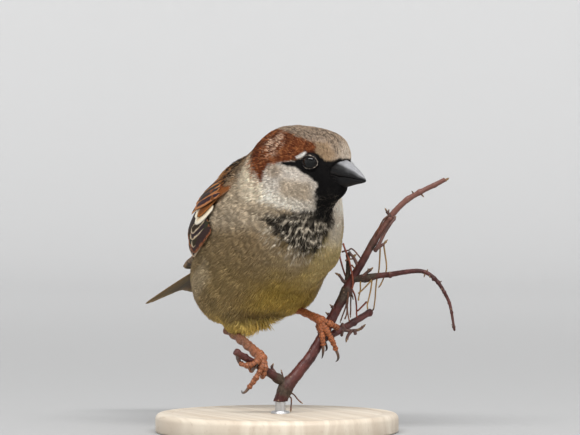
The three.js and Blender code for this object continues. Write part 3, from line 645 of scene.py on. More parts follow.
def onWing(sign, y, z, out):
    # a point this far out from the folded wing's surface, and the surface's own normal
    y, z = np.atleast_1d(y).astype(float), np.atleast_1d(z).astype(float)
    point = wingPoint(sign, y, z)
    alongY = wingPoint(sign, y + 0.4, z) - wingPoint(sign, y - 0.4, z)
    alongZ = wingPoint(sign, y, z + 0.4) - wingPoint(sign, y, z - 0.4)
    normal = unit(np.cross(alongY, alongZ))
    normal = normal * np.sign(dot(normal, np.array((sign, 0, 0.0)))[:, :1] + 1e-9)
    return point + normal * np.reshape(out, (-1, 1)), normal


shownWing = [(-3, 76), (1, 72), (6, 67.5), (3, 64), (4, 60.5), (16, 57.5), (26, 57), (34, 55), (42, 52),
             (50, 50.4), (64, 47), (64, 58), (46, 64), (30, 68), (22, 70.5), (14, 72.5), (6, 75), (0, 79)]
scapularLine = [(-12, 84), (-4, 77), (2, 73), (8, 70.5), (14, 68.5), (22, 66), (34, 61)]
flankOver = {"out": 0.5, "scapularOut": 2.6, "soft": 2.4}


def scapularAt(points):
    # how far each point is into the feathers of the shoulder, over the top of the wing
    x, y, z = points.T
    level = np.interp(y, *zip(*scapularLine))
    return ramp(z - level, -0.8, 1.0) * ramp(np.abs(x), 5, 9) * ramp(y, -8.5, -4.5) * (1 - ramp(y, 30, 36))


def overWing(points):
    # flank and shoulder plumage lies over the wing's edges, so the skin swells out to carry it there
    x, y, z = points.T
    plan, line, top = (smoothRead(y, curve) for curve in (wingPlan, wingLine, wingTop))
    place = np.hypot(x / plan, (z - line) / (top - line))
    hiddenPart = ramp(-insideOutline(y, z, shownWing), -flankOver["soft"], 0.6)
    zone = hiddenPart * ramp(np.abs(x), 3, 8) * band(y, -9, 52, 3)
    out = flankOver["out"] + (flankOver["scapularOut"] - flankOver["out"]) * scapularAt(points)
    scale = np.clip((1 + out / plan) / np.maximum(place, 0.3), 1, 1.5)
    scale = 1 + (scale - 1) * zone
    return np.stack([x * scale, y, line + (z - line) * scale], axis=1)


# skin: one closed surface under the coat, in place of the nodes of flesh
fleshNodes = ["head", "neck", "trunk", "rump", "thigh_right", "thigh_left"]
skinSettings = {"grown": 0.42, "voxel": 0.62, "smoothing": 30, "billCut": 9.6, "coatDepth": 0.95,
                "proud": 0.35}


def merged(names):
    bm = bmesh.new()
    for name in names:
        bm.from_mesh(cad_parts[name].data)
    bmesh.ops.remove_doubles(bm, verts=bm.verts, dist=1e-6)
    return bm


rough = meshFrom(merged(fleshNodes + ["eye_right", "eye_left", "bill_upper", "bill_lower"]), "rough")
points, normals = surfaceOf(rough)
move(rough, points + normals * skinSettings["grown"])
holder = bpy.data.objects.new("rough", rough)
studioScene.collection.objects.link(holder)
voxels = holder.modifiers.new("voxels", "REMESH")
voxels.mode = "VOXEL"
voxels.voxel_size = skinSettings["voxel"] * mm
soften = holder.modifiers.new("soften", "SMOOTH")
soften.factor = 0.5
soften.iterations = skinSettings["smoothing"]
smooth = bpy.data.meshes.new_from_object(holder.evaluated_get(bpy.context.evaluated_depsgraph_get()))
bpy.data.objects.remove(holder)
bpy.data.meshes.remove(rough)

move(smooth, overWing(surfaceOf(smooth)[0]))
bm = bmesh.new()
bm.from_mesh(smooth)
for _ in range(6):
    bmesh.ops.smooth_vert(bm, verts=bm.verts, factor=0.5, use_axis_x=True, use_axis_y=True, use_axis_z=True)
bm.to_mesh(smooth)
bm.free()
points, normals = surfaceOf(smooth)
deep = coatAt(points)[1] * skinSettings["coatDepth"] + skinSettings["proud"]
deep += (1 - ramp(nearestOf(points, eyeCentres), 2.9, 4.4)) * 1.5
x, y, z = points.T
deep -= band(z, 50, 57, 4) * ramp(x, 6, 14) * ramp(-y, -4, 4) * 1.4  # a fuller left breast
move(smooth, intoBill(points - normals * deep[:, None]))

bm = bmesh.new()
bm.from_mesh(smooth)
cut = bmesh.ops.bisect_plane(
    bm, geom=[*bm.verts, *bm.edges, *bm.faces], dist=1e-6, clear_outer=True,
    plane_co=inHead(0, skinSettings["billCut"], 0) * mm, plane_no=headWay(0, 1, 0),
)
fillCut(bm, cut)
bmesh.ops.triangulate(bm, faces=bm.faces)
skinTree = BVHTree.FromBMesh(bm)
bm.to_mesh(smooth)
bm.free()
skinPoints, skinNormals = surfaceOf(smooth)
triangles = np.array([tuple(p.vertices) for p in smooth.polygons])
print("skin shaped", len(triangles), "triangles")


def paintPoints(mesh, name, colours):
    layer = mesh.attributes.new(name, "FLOAT_COLOR", "POINT")
    rgba = np.ones((len(mesh.vertices), 4))
    rgba[:, : colours.shape[1]] = colours
    layer.data.foreach_set("color", rgba.ravel())


def downPaint(name, bumpScale):
    paint = Paint(name, {"Specular IOR Level": 0.12})
    colour = paint.attribute("plumage")[0]
    barbs = paint.fine(2600.0, 2.0)
    mottle = paint.fine(420.0)
    shade = barbs * 0.34 + mottle * 0.26 + 0.70
    tone = paint.mix(1.0, colour, paint.grey(shade), "MULTIPLY")
    normal = paint.bump(barbs, bumpScale * mm, 0.5)
    return paint.drive(Base_Color=tone, Roughness=barbs * 0.2 + 0.7, Normal=normal)


# painted shade: the skin carries the markings at half brightness, for the shade deep under the coat
paintPoints(smooth, "plumage", markings(skinPoints) * 0.5)
placed(smooth, "bird_skin", downPaint("down_skin", 0.12), fleshNodes)

# coat: small feathers, each a fan of thin closed barbs, rooted evenly over the skin
coatSettings = {
    "candidates": 400000, "cell": 1.8, "bareBill": 3.2, "bareEye": 2.6, "wingShade": 3.5, "wingMargin": 1.5,
    "jitter": 0.10, "drift": 0.05, "bodyBarbs": 12, "headBarbs": 9, "wide": 0.33, "barbWide": 0.38,
    "barbDeep": 0.8, "sunk": 0.2, "tuft": (-4.5, 9.0, 34.5), "headReach": 17.5,
    "shadedRootToTip": (0.42, 0.88, 0.88, 0.97, 1.10), "patch": (0.0020, 0.0014),
}


def lieAt(points, normals):
    # the lie of the feathers: back from the bill on the head, and along the body behind it
    fromBill = unit(points - billRoot)
    body = np.tile(bodyWay, (len(points), 1))
    body[:, 0] += np.clip(points[:, 0] * 0.012, -0.3, 0.3) * ramp(-points[:, 1], 0, 16)
    tailwards = ramp(points[:, 1], 24, 36)[:, None]
    body = body * (1 - tailwards) + np.array((0, 0.95, -0.28)) * tailwards
    for ankle in ankles:
        toAnkle = ankle - points
        away = np.linalg.norm(toAnkle, axis=1)
        pull = ((1 - ramp(away, 5, 17)) * ramp(toAnkle[:, 2], -6, 0))[:, None]
        body = body * (1 - pull) + unit(toAnkle) * pull
    onHead = (1 - ramp(np.linalg.norm(points - headMid, axis=1), 13, 20))[:, None]
    lie = fromBill * onHead + body * (1 - onHead)
    drift = np.stack([patchy(points, 4.5, seed) for seed in (61, 62, 63)], axis=1)
    lie = unit(lie) + drift * coatSettings["drift"]
    return unit(lie - normals * dot(lie, normals))


corners = skinPoints[triangles]
areas = np.linalg.norm(np.cross(corners[:, 1] - corners[:, 0], corners[:, 2] - corners[:, 0]), axis=1) / 2
centres = corners.mean(axis=1)
apart = coatAt(centres)[2]
weights = areas / apart**2
chosen = rng.choice(len(triangles), coatSettings["candidates"], p=weights / weights.sum())
mixA, mixB = rng.random(len(chosen)), rng.random(len(chosen))
over = mixA + mixB > 1
mixA[over], mixB[over] = 1 - mixA[over], 1 - mixB[over]
mixC = 1 - mixA - mixB
blend = np.stack([mixC, mixA, mixB], axis=1)[:, :, None]
rootsAll = (corners[chosen] * blend).sum(axis=1)
normalsAll = unit((skinNormals[triangles[chosen]] * blend).sum(axis=1))
apartAll = coatAt(rootsAll)[2]
side, ahead, up = headPlaces(rootsAll)
middle, wide, deep = billRead(ahead)
bare = (ahead > coatSettings["bareBill"]) & (np.hypot(side / wide, (up - middle) / deep) < 0.98)
bare |= nearestOf(rootsAll, eyeCentres) < coatSettings["bareEye"]

grid = {}
keep = []
cells = np.floor(rootsAll / coatSettings["cell"]).astype(int)
steps = [(i, j, k) for i in (-1, 0, 1) for j in (-1, 0, 1) for k in (-1, 0, 1)]
for index in np.flatnonzero(~bare):
    x, y, z = rootsAll[index]
    i, j, k = cells[index]
    room = apartAll[index] ** 2
    for di, dj, dk in steps:
        near = grid.get((i + di, j + dj, k + dk))
        if near and any((x - a) ** 2 + (y - b) ** 2 + (z - c) ** 2 < room for a, b, c in near):
            break
    else:
        grid.setdefault((i, j, k), []).append((x, y, z))
        keep.append(index)
roots, rootNormals = rootsAll[keep], normalsAll[keep]
print("feather roots", len(roots))

wingNodes = [f"{part}_{side}" for part in ("scapulars", "wing_coverts", "wing_secondaries", "wing_primaries")
             for side in ("right", "left")]
bm = merged(wingNodes)
wingTree = BVHTree.FromBMesh(bm)
bm.free()
lies = lieAt(roots, rootNormals)


def underWing(shift):
    places = roots + lies * shift
    return np.array([
        wingTree.ray_cast(Vector(place * mm), Vector(normal), 0.007)[0] is not None
        for place, normal in zip(places, rootNormals)
    ])


hidden = underWing(0.0) & underWing(coatSettings["wingShade"]) & underWing(-coatSettings["wingShade"])
hidden &= insideOutline(roots[:, 1], roots[:, 2], shownWing) > coatSettings["wingMargin"]
roots, rootNormals, lies = roots[~hidden], rootNormals[~hidden], lies[~hidden]
print("roots clear of the wings", len(roots))


def onSkin(points):
    found = [skinTree.find_nearest(Vector(point)) for point in points * mm]
    places = np.array([hit[0] for hit in found]) / mm
    normals = np.array([hit[1] for hit in found])
    return places, normals


def feathersFor(roots, normals, lies, count):
    # the points and faces of one coat piece, with each barb's place across its feather
    long, deep, _ = coatAt(roots)
    long = long * rng.uniform(0.80, 1.20, len(roots))
    turn = rng.normal(0, coatSettings["jitter"], len(roots))[:, None]
    side = np.cross(normals, lies)
    lies = unit(lies * np.cos(turn) + side * np.sin(turn))
    side = np.cross(normals, lies)
    wide = long * coatSettings["wide"]
    lift = deep * rng.uniform(0.70, 1.15, len(roots))
    hanging = 1 - ramp(np.linalg.norm((roots - coatSettings["tuft"]) / (1.3, 1.3, 1), axis=1), 2.0, 6.0)
    lift = lift + hanging * rng.uniform(1.5, 4.5, len(roots))
    long = long * (1 + hanging * 0.25)
    across = np.linspace(-1, 1, count)[None, :] + rng.normal(0, 0.10, (len(roots), count))
    reach = long[:, None] * (1 - 0.30 * across**2) * rng.uniform(0.78, 1.12, across.shape)
    spread = wide[:, None] * across

    def spot(part, splay, height):
        flat = (
            roots[:, None] + lies[:, None] * (reach * part)[:, :, None]
            + side[:, None] * (spread * splay)[:, :, None]
        ).reshape(-1, 3)
        places, ups = onSkin(flat)
        ups = unit(ups + np.repeat(normals, count, axis=0) * 0.6)
        uneven = rng.normal(0, 0.035, across.shape) * long[:, None] * 0.4
        raised = (lift[:, None] * height + uneven).reshape(-1, 1)
        return places + ups * np.maximum(raised, 0.04), ups

    start, _ = spot(0.0, 0.45, 0.02)
    start -= np.repeat(normals, count, axis=0) * coatSettings["sunk"]
    middle, up = spot(0.48, 0.92, 0.80)
    tip, _ = spot(1.0, 1.15, 1.0)
    way = unit(tip - start)
    out = unit(np.cross(up, way))
    half = np.repeat(wide * 2 / count * coatSettings["barbWide"], count)[:, None]
    left = middle - out * half
    right = middle + out * half
    top = middle + unit(np.cross(way, out)) * half * coatSettings["barbDeep"]
    points = np.stack([start, left, right, top, tip], axis=1)
    base = np.arange(len(points))[:, None, None] * 5
    shell = np.array([(0, 1, 3), (0, 3, 2), (0, 2, 1), (4, 3, 1), (4, 2, 3), (4, 1, 2)])
    faces = (base + shell[None]).reshape(-1, 3)
    return points, faces, across


def scallops(points, wide, high):
    # staggered rows of round feather tips: how far up from its tip, and a number for each feather
    x = points[:, 0] + patchy(points, 5, 81) * 0.9
    z = points[:, 2] + patchy(points, 5, 82) * 0.9
    row = np.floor(z / high)
    shifted = x / wide + row * 0.5 + 0.2 * np.sin(row * 12.9)
    column = np.floor(shifted)
    fromTip = z / high - row - 1.8 * (shifted - column - 0.5) ** 2
    return fromTip, np.modf(np.abs(np.sin(row * 127.1 + column * 311.7) * 4375.8))[0]


def coatColours(points, across, roots):
    # markings where each barb lies, with its feather's own shade, shaft streak and pale or dark tip, plus
    # painted shade towards each barb's root and painted light and shade in strands on the body
    count = across.shape[1]
    shown = points[:, 4] * 0.6 + points[:, 1] * 0.4
    colour = markings(shown)
    at = regions(np.repeat(roots, count, axis=0))
    feather = np.repeat(rng.normal(0, 1, (len(roots), 4)), count, axis=0)
    barb = rng.normal(0, 1, len(shown))
    inner = 1 - np.abs(across.ravel())
    covered = np.maximum.reduce([at["mask"], at["chestnut"], at["whiteSpot"]])
    crown = at["crown"] * at["head"] * (1 - covered)
    side, ahead, up = headPlaces(shown)
    short = patchy(np.stack([side * 1.5, ahead * 0.42, up * 0.5], axis=1), 1.0, 75)
    top = np.maximum(crown, at["brow"] * (1 - covered) * 0.7)
    red = at["chestnut"] * (1 - at["mask"])
    mixed = feather[:, 1] * 0.8 + barb * 0.6
    flecked = 1 - ramp(np.hypot(ahead + 14.6, (up - 2.7) * 0.9), 2.2, 5.0)
    mantle = at["mantle"] * (1 - at["head"])
    rooted = np.repeat(roots, count, axis=0)
    lengthwise = np.stack([rooted[:, 0], at["along"] * 0.20, at["high"] * 1.1], axis=1)
    streak = patchy(lengthwise, 1.35, 71) + feather[:, 1] * 0.12
    buffStreak = patchy(lengthwise, 1.5, 72) + feather[:, 2] * 0.12
    colour = dyed(colour, [
        ("crownDark", crown * ramp(inner + feather[:, 0] * 0.18, 0.62, 0.80) * 0.85),
        ("brow", crown * ramp(feather[:, 1] - inner * 1.2, -0.1, 0.6) * 0.45),
        ("crownDark", top * ramp(short, 0.30, 0.75) * (0.44 + 0.45 * ramp(ahead, -6, 1))),
        ("rust", red * ramp(mixed, 0.35, 1.4)),
        ("chestnutDeep", red * ramp(-mixed, 0.4, 1.3) * 0.8),
        ("fleck", red * flecked * ramp(feather[:, 2] + barb * 0.5, 0.2, 1.0) * 0.85),
        ("mantleBuff", mantle * ramp(buffStreak, 0.12, 0.5) * 0.85),
        ("mantleBlack", mantle * ramp(streak + inner * 0.15, 0.20, 0.34)),
    ])
    pale = at["head"] * (1 - at["upper"]) * (1 - covered)
    strength = 0.09 + 0.05 * pale
    shade = 1 + feather[:, 0] * strength * 0.8 + barb * strength - 0.10 * ramp(inner, 0.75, 0.95)
    # painted light and painted shade: lighter and darker strands along the lie for lit clump edges and shaded
    # gaps, off the head
    strands = patchy(np.stack([rooted[:, 0] * 1.3, at["along"] * 0.3, at["high"] * 1.3], axis=1), 1.4, 76)
    shade = shade + strands * 0.22 * (1 - at["head"])
    colour = colour * np.clip(shade, 0.45, 1.6)[:, None]
    # painted shade: each barb darkens towards its root, deep in the coat, and is paler along its ridge and at
    # its tip
    tone = np.stack([colour * part for part in coatSettings["shadedRootToTip"]], axis=1)
    bib = at["bib"] * (1 - ramp(at["mask"], 0.3, 0.8))
    throat = at["mask"] * ramp(-up, 7, 10) * ramp(feather[:, 3] + barb * 0.5, 0.9, 1.7) * 0.6
    for k in range(1, 5):  # pale fringes on the bib's feathers, and a few flecks on the throat
        fromTip, number = scallops(points[:, k], 2.8, 2.4)
        reach = 0.24 + 0.20 * ramp(points[:, k, 2], 61, 66)
        fringe = bib * ramp(fromTip + barb * 0.03, -0.06, 0.0) * (1 - ramp(fromTip, reach, reach + 0.06))
        fringe = fringe * ramp(number, 0.05, 0.30)
        pale = np.maximum(fringe, throat * (k == 4))
        tone[:, k] += (np.array(tints["bibPale"]) - tone[:, k]) * pale[:, None]
    return np.clip(tone, 0.002, 0.97)


def unrolled(points, axis, middle):
    # the skin's shape unrolled about a line through the body: round it across, along it upwards
    axis = unit(np.asarray(axis, float))
    across = unit(np.cross(axis, (1, 0.05, 0.1)))
    third = np.cross(axis, across)
    away = points - middle
    return np.arctan2(away @ third, away @ across) / (2 * math.pi) + 0.5, away @ axis


def coatPiece(name, which, count, axis, middle, material):
    points, faces, across = feathersFor(roots[which], rootNormals[which], lies[which], count)
    colours = coatColours(points, across, roots[which])
    mesh = bpy.data.meshes.new(name)
    mesh.from_pydata((points.reshape(-1, 3) * mm).tolist(), [], faces.tolist())
    paintPoints(mesh, "plumage", colours.reshape(-1, 3))
    u, v = unrolled(roots[which], axis, np.asarray(middle, float))
    u, v = (0.02 + 0.96 * (value - value.min()) / (value.max() - value.min()) for value in (u, v))
    patchWide, patchHigh = coatSettings["patch"]
    local = np.array([(0, -1), (-0.35, 0), (0.35, 0), (0, 0.2), (0, 1)]) * patchHigh
    order = np.tile((np.arange(count) / (count - 1) - 0.5) * patchWide, len(u))
    uv = np.stack([np.repeat(u, count), np.repeat(v, count)], axis=1)[:, None] + local[None]
    uv[:, :, 0] += order[:, None]
    uv = uv.reshape(-1, 2)
    layer = mesh.uv_layers.new(name="OFBake")
    loops = np.empty(len(mesh.loops), int)
    mesh.loops.foreach_get("vertex_index", loops)
    layer.data.foreach_set("uv", uv[loops].ravel())
    return placed(mesh, name, material)


plumage = downPaint("plumage_coat", 0.05)
at = regions(roots)
aft, onHead = at["along"], np.linalg.norm(roots - headMid, axis=1) < coatSettings["headReach"]
group = np.full(len(roots), 4)
group[aft > 8] = 5
group[(aft <= 8) & (at["high"] < -2)] = 6
group[aft < -6] = 3
group[(aft < -6) & (at["high"] > 5)] = 2
group[onHead] = 0
group[onHead & (headPlaces(roots)[2] < -3.5)] = 1
coatPieces = [  # name, and the line about which its UV map is unrolled
    ("coat_crown", (0, 0.5, 1), headMid),
    ("coat_cheeks", (0.1, -0.1, 1), headMid),
    ("coat_neck", (0, 0.45, -0.9), (0, -8, 76)),
    ("coat_breast", (0, 0.1, 1), (0, -8, 62)),
    ("coat_flanks", bodyWay, bodyMid),
    ("coat_rear", bodyWay, (0, 20, 50)),
    ("coat_belly", bodyWay, bodyMid),
]
for number, (name, axis, middle) in enumerate(coatPieces):
    count = coatSettings["headBarbs" if number < 2 else "bodyBarbs"]
    slotName = "crown_plumage" if name == "coat_crown" else "pale_plumage"
    coatPiece(name, group == number, count, axis, middle, plumage)
print("coat ready")


# eyes: glossy balls, each in a dark lid edge and a thin pale ring
eyeSettings = {
    "radius": 2.9, "out": 6.0, "back": -1.2, "up": -0.4, "forward": 24, "cornea": 0.28,
    "edge": (2.02, 1.60, 0.26), "ring": (2.66, 2.04, 0.12), "hood": (3.0, 2.95), "shift": -0.40,
}
irisPaint = Paint("eye_gloss", {"IOR": 1.36})
gaze = irisPaint.attribute("gaze")[2]
streak = irisPaint.fine(2400.0, 2.0)
iris = irisPaint.mix(streak, (0.012, 0.006, 0.003), (0.040, 0.017, 0.008))
pupil = irisPaint.steps(gaze, 0.80, 0.84)
irisPaint.drive(
    Base_Color=irisPaint.mix(pupil, iris, (0.002, 0.002, 0.002)),
    Roughness=streak * 0.02 + 0.02,
)
lidPaint = Paint("eyelid", {"Roughness": 0.6, "Specular IOR Level": 0.12})
grain = lidPaint.fine(1500.0)
lidTone = lidPaint.mix(lidPaint.steps(grain, 0.42, 0.62), (0.06, 0.05, 0.045), (0.40, 0.34, 0.28))
lidMix = lidPaint.mix(lidPaint.attribute("pale")[2], (0.007, 0.006, 0.006), lidTone)
lidPaint.drive(Base_Color=lidMix, Normal=lidPaint.bump(grain, 0.06 * mm, 0.7))


def eyeFrame(sign):
    turn = math.radians(eyeSettings["forward"])
    centre = inHead(sign * eyeSettings["out"], eyeSettings["back"], eyeSettings["up"])
    axis = headWay(sign * math.cos(turn), math.sin(turn), 0)
    ahead = headWay(-sign * math.sin(turn), math.cos(turn), 0)
    return centre, axis, ahead, headWay(0, 0, 1)


def lidRing(bm, sign, halfLong, halfHigh, thick, sunk):
    centre, axis, ahead, up = eyeFrame(sign)
    radius = eyeSettings["radius"] + 0.06

    def shape(u, w):
        turn = 2 * math.pi * u
        along = halfLong * np.cos(turn) * (1 + 0.05 * np.cos(turn)) + eyeSettings["shift"]
        rise = halfHigh * np.sin(turn)
        deep = np.sqrt(np.maximum(radius**2 - along**2 - rise**2, 0.2)) - sunk
        middle = centre + deep[:, None] * axis + along[:, None] * ahead + rise[:, None] * up
        outward = unit(np.cos(turn)[:, None] * ahead + np.sin(turn)[:, None] * up)
        around = 2 * math.pi * w
        bulge = thick * (1 + 0.22 * np.sin(turn * 9) + 0.15 * np.sin(turn * 17 + 1))
        over = axis * (bulge * 0.8 * np.sin(around))[:, None]
        return middle + outward * (bulge * np.cos(around))[:, None] + over

    formed(bm, shape, 72, 8)


def lidHood(bm, sign):
    # bare skin from the lid's edge down to the ball's widest part
    centre, axis, ahead, up = eyeFrame(sign)

    def shape(u, w):
        turn = 2 * math.pi * u
        over = 1 - np.abs(2 * w - 1)
        sizes = [a + (b - a) * over for a, b in zip(eyeSettings["edge"], eyeSettings["hood"])]
        along = sizes[0] * np.cos(turn) + eyeSettings["shift"] * (1 - over)
        rise = sizes[1] * np.sin(turn)
        ball = eyeSettings["radius"] + np.where(w < 0.5, 0.10, -0.12)
        deep = np.sqrt(np.maximum(ball**2 - along**2 - rise**2, 0.03))
        return centre + deep[:, None] * axis + along[:, None] * ahead + rise[:, None] * up

    formed(bm, shape, 64, 17)


for side, sign in (("right", -1), ("left", 1)):
    centre, axis, ahead, up = eyeFrame(sign)
    bm = bmesh.new()
    bmesh.ops.create_uvsphere(bm, u_segments=48, v_segments=28, radius=eyeSettings["radius"] * mm)
    turn = Vector((0, 0, 1)).rotation_difference(Vector(axis)).to_matrix()
    bmesh.ops.rotate(bm, verts=bm.verts, cent=(0, 0, 0), matrix=turn)
    for v in bm.verts:
        facing = v.co.normalized().dot(Vector(axis))
        v.co *= 1 + eyeSettings["cornea"] / eyeSettings["radius"] * float(ramp(facing, 0.72, 0.97))
    bmesh.ops.translate(bm, verts=bm.verts, vec=Vector(centre) * mm)
    eye = piece(bm, f"eyeball_{side}", irisPaint.material, [f"eye_{side}"])
    places = surfaceOf(eye.data)[0]
    pointValues(eye, "gaze", unit(places - centre) @ axis)
    bm = bmesh.new()
    lidHood(bm, sign)
    lidRing(bm, sign, *eyeSettings["edge"], 0.02)
    darkCount = len(bm.verts)
    lidRing(bm, sign, *eyeSettings["ring"], -0.06)
    lids = piece(bm, f"eyelids_{side}", lidPaint.material)
    pointValues(lids, "pale", (np.arange(len(lids.data.vertices)) >= darkCount).astype(float))
print("eyes ready")


# bill: two mandibles that meet along the gape
def mandible(upper):
    def shape(u, w):
        u = 1 - (1 - u) ** 1.25
        ahead, middle, wide, deep = billSection(u)
        deep = deep * (1.0 if upper else 1.22 - 0.22 * ramp(ahead, 8.5, 14))
        cut = np.interp(ahead, *zip(*billSettings["gape"]))
        low = np.arcsin(np.clip((cut - middle) / deep, -0.94, 0.94))
        if upper:
            start, end = low, math.pi - low
        else:
            start, end = low, -math.pi - low
            wide = wide * 0.92
        onArc = w < 0.8
        t = np.where(onArc, w / 0.8, (w - 0.8) / 0.2)
        angle = start + (end - start) * t
        closed = np.where((u < 1e-6) | (u > 1 - 1e-6), 0.0, 1.0)
        arcSide = wide * np.cos(angle)
        arcUp = middle + deep * np.sin(angle)
        ridge = 1 - 0.05 * np.cos(angle * 2 + math.pi) if upper else 1.0
        edgeSide = wide * np.cos(end) * (1 - t) + wide * np.cos(start) * t
        gap = 0.05 if upper else -0.05
        side = np.where(onArc, arcSide * ridge, edgeSide * 0.98) * closed
        rise = np.where(onArc, arcUp, cut)
        rise = np.where(closed > 0, rise, np.where(u > 0.5, cut, middle)) + gap
        side = side * (1 + 0.02 * np.sin(ahead * 9) * (ahead < 4))
        return fromHead(side, ahead, rise)

    return shape


hornPaint = Paint("bill_horn", {"Specular IOR Level": 0.15})
ridgeUp = hornPaint.attribute("ridge")[2]
lengthwise = hornPaint.noise(hornPaint.stretched((1, 0.12, 1), (0.17, 0, 0.44)), 1900.0)
cloudy = hornPaint.fine(500.0)
# painted highlight: pale grey along the culmen of the black bill, placed by the ridge attribute
culmenHighlight = hornPaint.mix(cloudy, (0.23, 0.232, 0.245), (0.44, 0.44, 0.45))
highlightMask = hornPaint.steps(ridgeUp + (cloudy - 0.5) * 0.3, 0.05, 0.95)
hornBase = hornPaint.mix(highlightMask, (0.006, 0.0055, 0.0055), culmenHighlight)
hornTone = hornPaint.mix(lengthwise * 0.5, hornBase, (0.02, 0.02, 0.021))
hornPaint.drive(
    Base_Color=hornTone,
    Roughness=cloudy * 0.22 + 0.30,
    Normal=hornPaint.bump(lengthwise, 0.07 * mm, 0.45, hornPaint.bump(cloudy, 0.12 * mm, 0.4)),
)
for name, upper in (("upper", True), ("lower", False)):
    bm = bmesh.new()
    formed(bm, mandible(upper), 44, 34)
    bill = piece(bm, f"bill_{name}_horn", hornPaint.material, [f"bill_{name}"])
    places = surfaceOf(bill.data)[0]
    side, ahead, up = headPlaces(places)
    middle = np.interp(ahead, [0, 6, 12, 16.6], [-2.2, -2.0, -2.4, -3.4])
    deep = np.interp(ahead, [0, 6, 12, 16.6], [4.3, 3.6, 2.0, 0.3])
    if upper:  # nostril: a slit near the base, half under the feathers
        away = np.hypot((ahead - billSettings["nostril"][0]) / 1.1, (up - billSettings["nostril"][1]) / 0.5)
        pit = (1 - ramp(away, 0.3, 1.0)) * ramp(np.abs(side), 0.8, 1.6) * 0.5
        move(bill.data, places - np.sign(side)[:, None] * pit[:, None] * headWay(1, 0, 0))
    risen = (up - middle) / deep
    # painted highlight: the ridge values put pale grey along the upper mandible's culmen and a faint grey
    # near the lower mandible's tip
    pale = ramp(risen, 0.50, 0.98) + 0.28 * ramp(risen, -0.05, 0.4) * ramp(ahead, 7.5, 12)
    pointValues(bill, "ridge", np.clip(pale, 0, 1) if upper else 0.06 * ramp(ahead, 11, 14))

bristleSettings = {"count": 34, "ahead": (4.0, 5.6), "long": (1.8, 3.6), "thick": 0.11}
bristlePaint = Paint("bristle_black", {"Roughness": 0.6, "Specular IOR Level": 0.2})
sheen = bristlePaint.fine(1800.0, 2.0)
bristlePaint.drive(Base_Color=bristlePaint.mix(sheen, (0.006, 0.005, 0.005), (0.030, 0.025, 0.022)))
bm = bmesh.new()
for sign in (-1, 1):
    for i in range(bristleSettings["count"]):
        angle = math.radians(-75 + 160 * i / (bristleSettings["count"] - 1) + rng.normal(0, 5))
        start = rng.uniform(*bristleSettings["ahead"])
        long = rng.uniform(*bristleSettings["long"])
        path = []
        for reach in (-0.8, 0.0, 0.5, 1.0):
            ahead = start + long * reach
            middle, wide, deep = billRead(ahead)
            out = 0.2 + 0.45 * max(reach, 0)
            rise = (deep + out) * math.sin(angle)
            path.append(inHead(sign * (wide + out) * math.cos(angle), ahead, middle + rise))
        taper = lambda u, w: bristleSettings["thick"] * (0.15 + 0.85 * (1 - u) ** 0.7)
        formed(bm, tube(Line(path, count=30), taper), 9, 6)
piece(bm, "bristles", bristlePaint.material)
print("bill ready")

# legs and feet: scaled tarsus, padded toes round the twig, and claws
legSettings = {
    "tarsus": 1.30, "toe": 1.05, "claw": 0.62, "toeCurl": 11, "clawCurl": 2.7, "gap": -0.10, "step": 0.25,
    "knuckle": 1.72, "tarsusPlates": 10, "toePlates": {"middle": 13, "outer": 11, "inner": 10, "hind": 9},
    "left": {
        "low": (10.4, -5.3, 25.4), "high": (17.5, -6.0, 37.6), "twig": 1.6, "along": 0.65,
        "ankle": (9.4, 12.6, 38.6),
        "toes": {"inner": (8.5, -54, 150, 4.0), "middle": (11.6, -31, 76, 5.2), "outer": (10, 5, 230, 4.4),
                 "hind": (8.2, -36, 230, 5.0)},
    },
    "right": {
        "low": (1.3, -3.9, 15.4), "high": (-16.5, -5.0, 25.6), "twig": 1.25, "along": 0.56,
        "ankle": (-9.7, 12.9, 30.6),
        "toes": {"inner": (9.5, -24, 230, 4.0), "middle": (12, -5, 88, 5.2), "outer": (10, 33, 230, 4.4),
                 "hind": (7.8, 9, 230, 4.8)},
    },
}


def gripOf(leg, sign):
    low, high, ankle = (np.array(leg[key], float) for key in ("low", "high", "ankle"))
    axis = unit(high - low)
    outward = axis * (1 if axis[0] * sign > 0 else -1)
    centre = low + (high - low) * leg["along"]
    up = np.array((0, -0.25, 1)) + unit(ankle - centre) * 0.25
    up = unit(up - outward * up.dot(outward))
    over = np.array((0, -1.0, 0))
    over = over - outward * over.dot(outward)
    over = unit(over - up * over.dot(up))
    reach = leg["twig"] + legSettings["toe"] + legSettings["gap"]
    return {"outward": outward, "up": up, "over": over, "reach": reach, "sole": centre + up * reach}


def toeLine(grip, toe, back, length, curl, start=None):
    spread, wrap = math.radians(toe[1]), math.radians(toe[2])
    at, heading = (start or (grip["sole"], 0.0))
    step = legSettings["step"]
    points = []
    for _ in range(int(round(length / step)) + 1):
        points.append(at)
        wrapping = start is None and heading < wrap
        at = at + grip["over"] * back * math.cos(heading) * math.cos(spread) * step
        at = at - grip["up"] * math.sin(heading) * math.cos(spread) * step
        at = at + grip["outward"] * math.sin(spread) * step
        heading += math.cos(spread) * step / (grip["reach"] if wrapping else curl)
    return points, at, heading


def scaled(base, plates, depth):
    # a limb's radius with overlapping plates on its upper side and pads below
    def radius(u, w):
        top = ramp(np.sin(2 * math.pi * w), -0.1, 0.5)
        plate = depth * top * (0.6 - (u * plates) % 1.0)
        pad = depth * 0.5 * (1 - top) * np.cos(2 * math.pi * u * plates * 0.5)
        return base(u) * (1 + plate + pad)

    return radius


